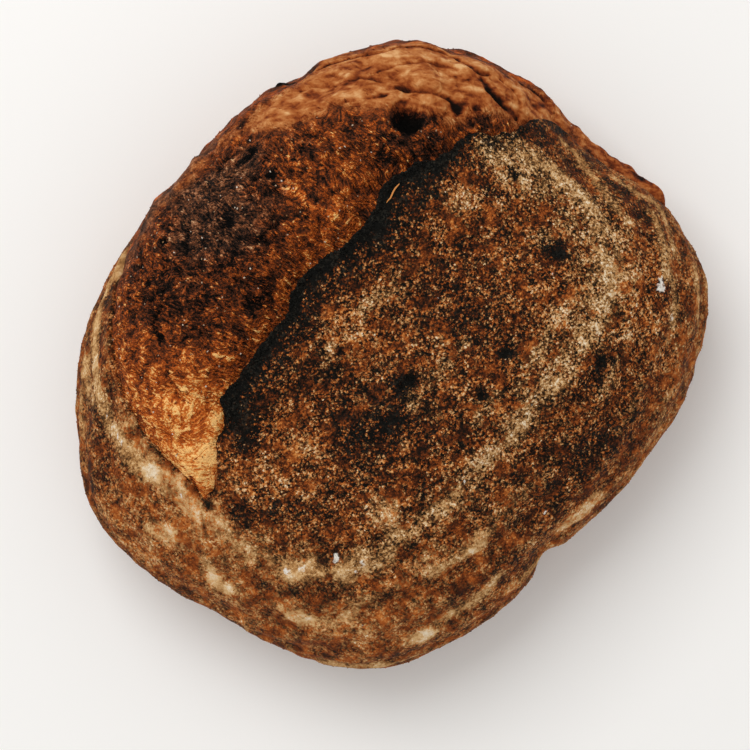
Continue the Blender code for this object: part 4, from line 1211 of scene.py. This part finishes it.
def crumbMaterial():
    material, shader, wire = newMaterial("crumbs", 0.72)
    shader.inputs["Specular IOR Level"].default_value = gloss
    mottle = wire.noise(wire.add("ShaderNodeTexCoord", {}, {}, "Object"), 0.0006, 2.0, 0.6)
    fill = wire.attribute("tint") * 0.8 + mottle * 0.2
    colour = wire.add("ShaderNodeValToRGB", {"stops": crumbColours}, {"Fac": fill})
    plug(colour, shader.inputs["Base Color"])
    return material


def scatterTree(name, material):
    # small irregular grains over a surface, lying flat on it and sunk in by part of their thickness
    tree = bpy.data.node_groups.new(name, "GeometryNodeTree")
    sockets = tree.interface
    sockets.new_socket("Geometry", in_out="OUTPUT", socket_type="NodeSocketGeometry")
    sockets.new_socket("Geometry", in_out="INPUT", socket_type="NodeSocketGeometry")
    for title, kind in (("Share", "NodeSocketString"), ("Density", "NodeSocketFloat"),
                        ("Size", "NodeSocketVector"), ("Across", "NodeSocketFloat"),
                        ("Seed", "NodeSocketInt"), ("Tint low", "NodeSocketFloat"),
                        ("Tint high", "NodeSocketFloat")):
        sockets.new_socket(title, in_out="INPUT", socket_type=kind)
    wire = Wire(tree)
    entry = tree.nodes.new("NodeGroupInput")
    given = {socket.name: Wire(tree, socket) for socket in entry.outputs if socket.name}

    def drawn(low, high, turn, kind="FLOAT"):
        ends = {"FLOAT": (2, 3), "FLOAT_VECTOR": (0, 1)}[kind]
        values = {ends[0]: low, ends[1]: high, "Seed": given["Seed"] + turn}
        output = 0 if kind == "FLOAT_VECTOR" else 1
        return wire.add("FunctionNodeRandomValue", {"data_type": kind}, values, output)

    share = wire.add("GeometryNodeInputNamedAttribute", {"data_type": "FLOAT"}, {"Name": given["Share"]})
    way = wire.add("GeometryNodeInputNamedAttribute", {"data_type": "FLOAT_VECTOR"}, {"Name": "comb"})
    spread = wire.add("GeometryNodeDistributePointsOnFaces", {},
                      {"Mesh": given["Geometry"], "Density": share * given["Density"],
                       "Seed": given["Seed"]})
    turned = Wire(tree, spread.socket.node.outputs["Rotation"])
    combed = wire.add("FunctionNodeAlignRotationToVector", {"axis": "X", "pivot_axis": "Z"},
                      {"Rotation": turned, "Factor": given["Across"], "Vector": way})
    grain = wire.add("GeometryNodeMeshIcoSphere", {}, {"Radius": 0.5, "Subdivisions": 1})
    growth = drawn(grainShape["smallest"], grainShape["largest"], 1, "FLOAT_VECTOR")
    scale = wire.add("ShaderNodeVectorMath", {"operation": "MULTIPLY"}, {0: given["Size"], 1: growth})
    placed = wire.add("GeometryNodeInstanceOnPoints", {},
                      {"Points": spread, "Instance": grain, "Rotation": combed, "Scale": scale})
    loose = (1 - given["Across"]) * 3.0 + 0.35
    tilt, swing = grainShape["tilt"], grainShape["swing"]
    swing = wire.add("ShaderNodeCombineXYZ", {}, {0: drawn(-tilt, tilt, 2), 1: drawn(-tilt, tilt, 3),
                                                  2: drawn(-swing, swing, 4) * loose})
    placed = wire.add("GeometryNodeRotateInstances", {}, {"Instances": placed, "Rotation": swing})
    placed = wire.add("GeometryNodeStoreNamedAttribute", {"data_type": "FLOAT", "domain": "INSTANCE"},
                      {"Geometry": placed, "Name": "tint",
                       "Value": drawn(given["Tint low"], given["Tint high"], 5)})
    solid = wire.add("GeometryNodeRealizeInstances", {}, {"Geometry": placed})
    shape = wire.add("ShaderNodeTexNoise", {}, {"Scale": grainShape["dents"], "Detail": 1.0}, "Color")
    centred = wire.add("ShaderNodeVectorMath", {"operation": "SUBTRACT"}, {0: shape, 1: (0.5, 0.5, 0.5)})
    depth = grainShape["dentDepth"]
    offset = wire.add("ShaderNodeVectorMath", {"operation": "SCALE"}, {0: centred, "Scale": depth})
    solid = wire.add("GeometryNodeSetPosition", {}, {"Geometry": solid, "Offset": offset})
    solid = wire.add("GeometryNodeSetShadeSmooth", {}, {"Geometry": solid})
    solid = wire.add("GeometryNodeSetMaterial", {}, {"Geometry": solid, "Material": material})
    leave = tree.nodes.new("NodeGroupOutput")
    plug(solid, leave.inputs[0])
    return tree


def setInput(modifier, title, value):
    for item in modifier.node_group.interface.items_tree:
        if item.item_type == "SOCKET" and item.in_out == "INPUT" and item.name == title:
            modifier[item.identifier] = value


def scatterOver(name, source, material):
    _, share, density, size, across, seed, tints, _ = grains[name]
    holder = bpy.data.objects.new(name + "Holder", source.data.copy())
    bpy.context.scene.collection.objects.link(holder)
    modifier = holder.modifiers.new("scatter", "NODES")
    modifier.node_group = scatterTree(name, material)
    setInput(modifier, "Share", share)
    setInput(modifier, "Density", float(density))
    setInput(modifier, "Size", size)
    setInput(modifier, "Across", float(across))
    setInput(modifier, "Seed", seed)
    setInput(modifier, "Tint low", tints[0])
    setInput(modifier, "Tint high", tints[1])
    solid = holder.evaluated_get(bpy.context.evaluated_depsgraph_get())
    data = bpy.data.meshes.new_from_object(solid)
    data.name = name
    bpy.data.objects.remove(holder, do_unlink=True)
    piece = bpy.data.objects.new(name, data)
    bpy.context.scene.collection.objects.link(piece)
    print(name, "has", len(data.polygons), "faces")
    return piece


def pieceOf(data, material):
    data.shade_smooth()
    data.materials.append(material)
    piece = bpy.data.objects.new(data.name, data)
    bpy.context.scene.collection.objects.link(piece)
    return piece


skinData, skinPlace = makeSkin()
print("skin made,", len(skinData.polygons), "faces")
tornData = makeTorn()
print("torn crust made,", len(tornData.polygons), "faces")
fitToBox((skinData, tornData))
skinLooks(skinData, skinPlace, cornersOf(skinData))

rows, columns = tornForm["along"], tornForm["across"]
net = cornersOf(tornData)[:rows * columns].reshape(rows, columns, 3)
comb = np.gradient(net, axis=1).reshape(-1, 3)
comb = np.vstack((comb, np.tile((0.0, 1.0, 0.0), (len(tornData.vertices) - len(comb), 1))))
setAttribute(tornData, "comb", comb / np.linalg.norm(comb, axis=1, keepdims=True).clip(1e-9))
setAttribute(skinData, "comb", np.tile((1.0, 0.0, 0.0), (len(skinData.vertices), 1)))

# A bit of straw baked onto the ear.
straw = {
    "run": ((33.4, 62.5), (34.2, 63.3), (34.9, 64.2), (35.2, 65.2), (36.0, 66.3)),
    "thick": (0.00016, 0.00030, 0.00030, 0.00014),
    "lift": 0.0006,
    "blur": 0.0016,
    "sides": 6,
}


def makeStraw(points):
    run = smoothLine(chart(*np.transpose(straw["run"])), 4)
    thick = np.interp(np.linspace(0, 1, len(run)), np.linspace(0, 1, len(straw["thick"])), straw["thick"])
    away = np.linalg.norm(skinPlace[:, None] - run, axis=2)
    share = bump(away * form["arc"], straw["blur"])
    middle = share.T @ points / share.sum(axis=0)[:, None] + outward(run) * straw["lift"]
    along = np.gradient(middle, axis=0)
    along /= np.linalg.norm(along, axis=1, keepdims=True)
    aside = np.cross(along, outward(run))
    aside /= np.linalg.norm(aside, axis=1, keepdims=True)
    turn = np.arange(straw["sides"]) / straw["sides"] * 2 * pi
    ring = np.cos(turn)[:, None, None] * aside + np.sin(turn)[:, None, None] * np.cross(aside, along)
    corners = (middle + ring * thick[:, None]).transpose(1, 0, 2).reshape(-1, 3)
    number = np.arange(len(corners)).reshape(len(run), straw["sides"])
    after = np.roll(number, -1, axis=1)
    faces = np.stack((number[:-1], after[:-1], after[1:], number[1:]), axis=-1).reshape(-1, 4).tolist()
    data = bpy.data.meshes.new("strawFibre")
    data.from_pydata(corners.tolist(), [], faces + [number[0].tolist(), number[-1][::-1].tolist()])
    turnOut(data)
    return data


def strawMaterial():
    material, shader, _ = newMaterial("straw", 0.6)
    shader.inputs["Specular IOR Level"].default_value = gloss
    shader.inputs["Base Color"].default_value = tone(206, 136, 74)
    return material


finishes = {"skin": skinMaterial(), "torn": tornMaterial(), "crumbs": crumbMaterial()}
sources = {"skin": pieceOf(skinData, finishes["skin"]), "torn": pieceOf(tornData, finishes["torn"])}
pieces = list(sources.values()) + [pieceOf(makeStraw(cornersOf(skinData)), strawMaterial())]
pieces += [scatterOver(name, sources[facts[0]], finishes[facts[-1]]) for name, facts in grains.items()]
for piece in pieces:
    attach(piece, "root")
    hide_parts("loaf")
print("grains scattered")


studio = {
    "paper": tone(250, 249, 247),
    "paperSize": 3.0,
    "skyStrength": 0.66,
    "skyColour": tone(255, 254, 252),
    "lampPlace": (0.15, 0.90, 1.50),
    "lampSize": 1.1,
    "lampPower": 13.5,
    "cameraPlace": (-0.0055, -0.0043, 1.1),
    "cameraTurn": radians(-43),
    "lens": 136.0,
}


def makeStudio():
    paper = bpy.data.meshes.new("paper")
    half = studio["paperSize"] / 2
    corners = [(-half, -half, 0), (half, -half, 0), (half, half, 0), (-half, half, 0)]
    paper.from_pydata(corners, [], [(0, 1, 2, 3)])
    material, shader, _ = newMaterial("paper", 0.9)
    shader.inputs["Base Color"].default_value = studio["paper"]
    floor = pieceOf(paper, material)

    world = bpy.data.worlds.new("studio")
    world.use_nodes = True
    sky = world.node_tree.nodes["Background"]
    sky.inputs["Color"].default_value = studio["skyColour"]
    sky.inputs["Strength"].default_value = studio["skyStrength"]
    bpy.context.scene.world = world

    lamp = bpy.data.lights.new("softLamp", "AREA")
    lamp.shape = "SQUARE"
    lamp.size = studio["lampSize"]
    lamp.energy = studio["lampPower"]
    holder = bpy.data.objects.new("softLamp", lamp)
    holder.location = studio["lampPlace"]
    holder.rotation_mode = "QUATERNION"
    holder.rotation_quaternion = holder.location.to_track_quat("Z", "Y")
    bpy.context.scene.collection.objects.link(holder)

    lens = bpy.data.cameras.new("camera")
    lens.lens = studio["lens"]
    lens.clip_start = 0.01
    camera = bpy.data.objects.new("camera", lens)
    camera.location = studio["cameraPlace"]
    camera.rotation_euler = (0, 0, studio["cameraTurn"])
    bpy.context.scene.collection.objects.link(camera)
    bpy.context.scene.camera = camera
    bpy.context.scene.view_settings.view_transform = "Standard"


makeStudio()
print("studio set")
